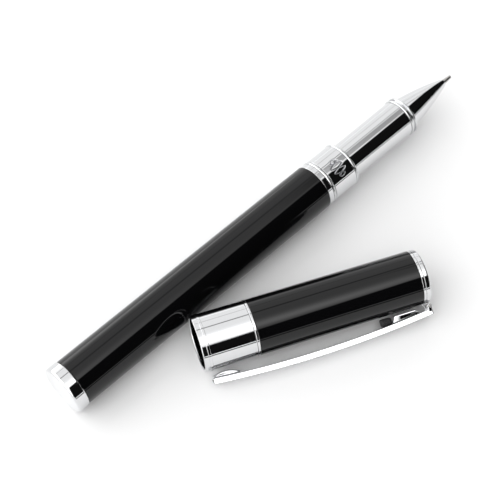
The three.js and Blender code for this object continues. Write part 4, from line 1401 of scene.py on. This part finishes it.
class PEN_OT_stage(bpy.types.Operator):
    """Builds the pale floor, the soft light around the pen, and the camera."""

    bl_idname = "pen.stage"
    bl_label = "Stage"

    def execute(self, context):
        stage = context.scene.pen_stage
        self.floor(stage)
        self.world(context.scene, stage)
        self.camera(context.scene, stage)
        context.scene.view_settings.view_transform = "Standard"
        return {"FINISHED"}

    def floor(self, stage):
        h = stage.floor_half
        mesh = bpy.data.meshes.new("floor")
        mesh.from_pydata([(-h, -h, 0), (h, -h, 0), (h, h, 0), (-h, h, 0)], [], [(0, 1, 2, 3)])
        floor = bpy.data.objects.new("floor", mesh)
        bpy.context.scene.collection.objects.link(floor)
        g = Graph("paper_floor")
        g.set(Base_Color=(*stage.floor_colour, 1), Roughness=0.9, Specular_IOR_Level=0.15)
        mesh.materials.append(g.material)

    def world(self, scene, stage):
        """The room, as its brightness in each direction (x, y, z).

        Overhead directions are laid out flat as p = (x / z, y / z), the point where they meet a
        ceiling one unit up. A softbox fills p . n > edge, with n level and turned by light_yaw,
        brighter well to the left and in a bell exp(-|p - hot centre|^2) around its lamp.
        Along and across its middle run q = p turned and shifted; a dimmer screen covers a
        rectangle of q, with fine slats, and two thin seams cross it. The rest of the room is dark
        but for a thin bright line low down.
        """
        world = bpy.data.worlds.new("soft_room")
        world.use_nodes = True
        scene.world = world
        self.tree = world.node_tree
        self.tree.nodes.clear()
        place = self.node("ShaderNodeTexCoord").outputs["Generated"]
        parts = self.node("ShaderNodeSeparateXYZ")
        self.tree.links.new(place, parts.inputs[0])
        x, y, z = parts.outputs
        height = self.maths("MAXIMUM", z, 0.001)
        px, py = self.maths("DIVIDE", x, height), self.maths("DIVIDE", y, height)
        c, s = math.cos(stage.light_yaw), math.sin(stage.light_yaw)
        lit = self.step(self.turned(px, py, -s, c, 0, 0), stage.light_edge, 0.03)
        left = self.step(self.maths("MULTIPLY", px, -1.0), *LEFT_FROM)
        far = self.maths(
            "ADD",
            *[
                self.maths("MULTIPLY", across, across)
                for across in (
                    self.maths("DIVIDE", self.maths("SUBTRACT", value, centre), spread)
                    for value, centre, spread in zip((px, py), stage.hot_centre, LAMP_SPREAD)
                )
            ],
        )
        hot = self.maths("EXPONENT", self.maths("MULTIPLY", far, -1.0))
        left = self.maths("MULTIPLY", left, stage.left_share)
        more = self.maths("ADD", left, self.maths("MULTIPLY", hot, stage.hot_share))
        lit = self.maths("MULTIPLY", lit, self.maths("ADD", 1.0, more))
        c, s = math.cos(stage.screen_yaw), math.sin(stage.screen_yaw)
        at = stage.screen_centre
        along = self.turned(px, py, -s, c, *at)
        across = self.turned(px, py, c, s, *at)
        slats = self.maths("SINE", self.maths("MULTIPLY", along, 2 * math.pi / SLAT_PITCH))
        slats = self.maths("MULTIPLY", slats, SLAT_DEPTH)
        dim = self.maths(
            "MULTIPLY", self.band(along, 0, *SCREEN_ALONG), self.band(across, 0, *SCREEN_ACROSS)
        )
        dim = self.maths("MULTIPLY", dim, self.maths("ADD", stage.screen_dim, slats))
        seams = self.maths(
            "MAXIMUM",
            *[
                self.maths("MULTIPLY", self.band(along, middle, half, soft), depth)
                for middle, half, soft, depth in SEAMS
            ],
        )
        shade = self.maths("SUBTRACT", 1.0, self.maths("MAXIMUM", dim, seams))
        box = self.maths("MULTIPLY", lit, shade)
        line = self.maths("MULTIPLY", self.band(z, *LOW_LINE), LOW_LINE_LEVEL)
        level = self.maths("MAXIMUM", self.maths("MAXIMUM", box, line), stage.dark)
        level = self.maths("MAXIMUM", level, self.step(self.maths("MULTIPLY", z, -1.0), 0.0, 0.01))
        background = self.node("ShaderNodeBackground")
        self.tree.links.new(self.maths("MULTIPLY", level, stage.light), background.inputs["Strength"])
        out = self.node("ShaderNodeOutputWorld")
        self.tree.links.new(background.outputs[0], out.inputs["Surface"])

    def node(self, kind, **settings):
        made = self.tree.nodes.new(kind)
        for name, value in settings.items():
            setattr(made, name, value)
        return made

    def maths(self, operation, a, b=0.0, c=0.0):
        made = self.node("ShaderNodeMath", operation=operation)
        for socket, value in zip(made.inputs, (a, b, c)):
            if isinstance(value, bpy.types.NodeSocket):
                self.tree.links.new(value, socket)
            else:
                socket.default_value = value
        return made.outputs[0]

    def turned(self, px, py, nx, ny, cx, cy):
        """(px - cx) nx + (py - cy) ny."""
        return self.maths(
            "ADD",
            self.maths("MULTIPLY", self.maths("SUBTRACT", px, cx), nx),
            self.maths("MULTIPLY", self.maths("SUBTRACT", py, cy), ny),
        )

    def step(self, value, at, soft):
        """Nought below `at`, one above it, smooth over `soft` either way."""
        made = self.node("ShaderNodeMapRange", interpolation_type="SMOOTHSTEP")
        self.tree.links.new(value, made.inputs["Value"])
        made.inputs["From Min"].default_value = at - soft
        made.inputs["From Max"].default_value = at + soft
        return made.outputs["Result"]

    def band(self, value, middle, half, soft):
        """One within `half` of the middle, nought outside."""
        return self.maths(
            "SUBTRACT",
            1.0,
            self.step(self.maths("ABSOLUTE", self.maths("SUBTRACT", value, middle)), half, soft),
        )

    def camera(self, scene, stage):
        a, e, d = stage.azimuth, stage.elevation, stage.distance
        back = Vector((math.sin(a) * math.cos(e), -math.cos(a) * math.cos(e), math.sin(e)))
        data = bpy.data.cameras.new("camera")
        data.lens = stage.lens
        data.sensor_width = 36
        data.clip_start = 0.01
        made = bpy.data.objects.new("camera", data)
        scene.collection.objects.link(made)
        made.location = Vector(stage.target) + back * d
        made.rotation_euler = back.to_track_quat("Z", "Y").to_euler()
        scene.camera = made


# ---------------------------------------------------------------- add-on


OPERATORS = (
    PEN_OT_barrel,
    PEN_OT_section,
    PEN_OT_thread,
    PEN_OT_refill,
    PEN_OT_cap,
    PEN_OT_clip,
    PEN_OT_stage,
)
GROUPS = (PenFinish, PenDetail, PenStage)


class PEN_PT_sidebar(bpy.types.Panel):
    """The pen's settings and the steps that build it."""

    bl_label = "Rollerball pen"
    bl_idname = "PEN_PT_sidebar"
    bl_space_type = "VIEW_3D"
    bl_region_type = "UI"
    bl_category = "Pen"

    def draw(self, context):
        layout = self.layout
        for group in (
            context.scene.pen_finish,
            context.scene.pen_detail,
            context.scene.pen_stage,
        ):
            box = layout.box()
            for name in group.__annotations__:
                box.prop(group, name)
        for operator in OPERATORS:
            layout.operator(operator.bl_idname)


def register():
    for made in (*GROUPS, *OPERATORS, PEN_PT_sidebar):
        bpy.utils.register_class(made)
    bpy.types.Scene.pen_finish = PointerProperty(type=PenFinish)
    bpy.types.Scene.pen_detail = PointerProperty(type=PenDetail)
    bpy.types.Scene.pen_stage = PointerProperty(type=PenStage)


def unregister():
    for made in (PEN_PT_sidebar, *OPERATORS, *GROUPS):
        bpy.utils.unregister_class(made)
    del bpy.types.Scene.pen_finish
    del bpy.types.Scene.pen_detail
    del bpy.types.Scene.pen_stage


def main():
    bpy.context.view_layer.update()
    register()
    bpy.ops.pen.barrel()
    bpy.ops.pen.section()
    bpy.ops.pen.thread()
    bpy.ops.pen.refill()
    bpy.ops.pen.cap()
    bpy.ops.pen.clip()
    bpy.ops.pen.stage()


if __name__ == "__main__":
    main()
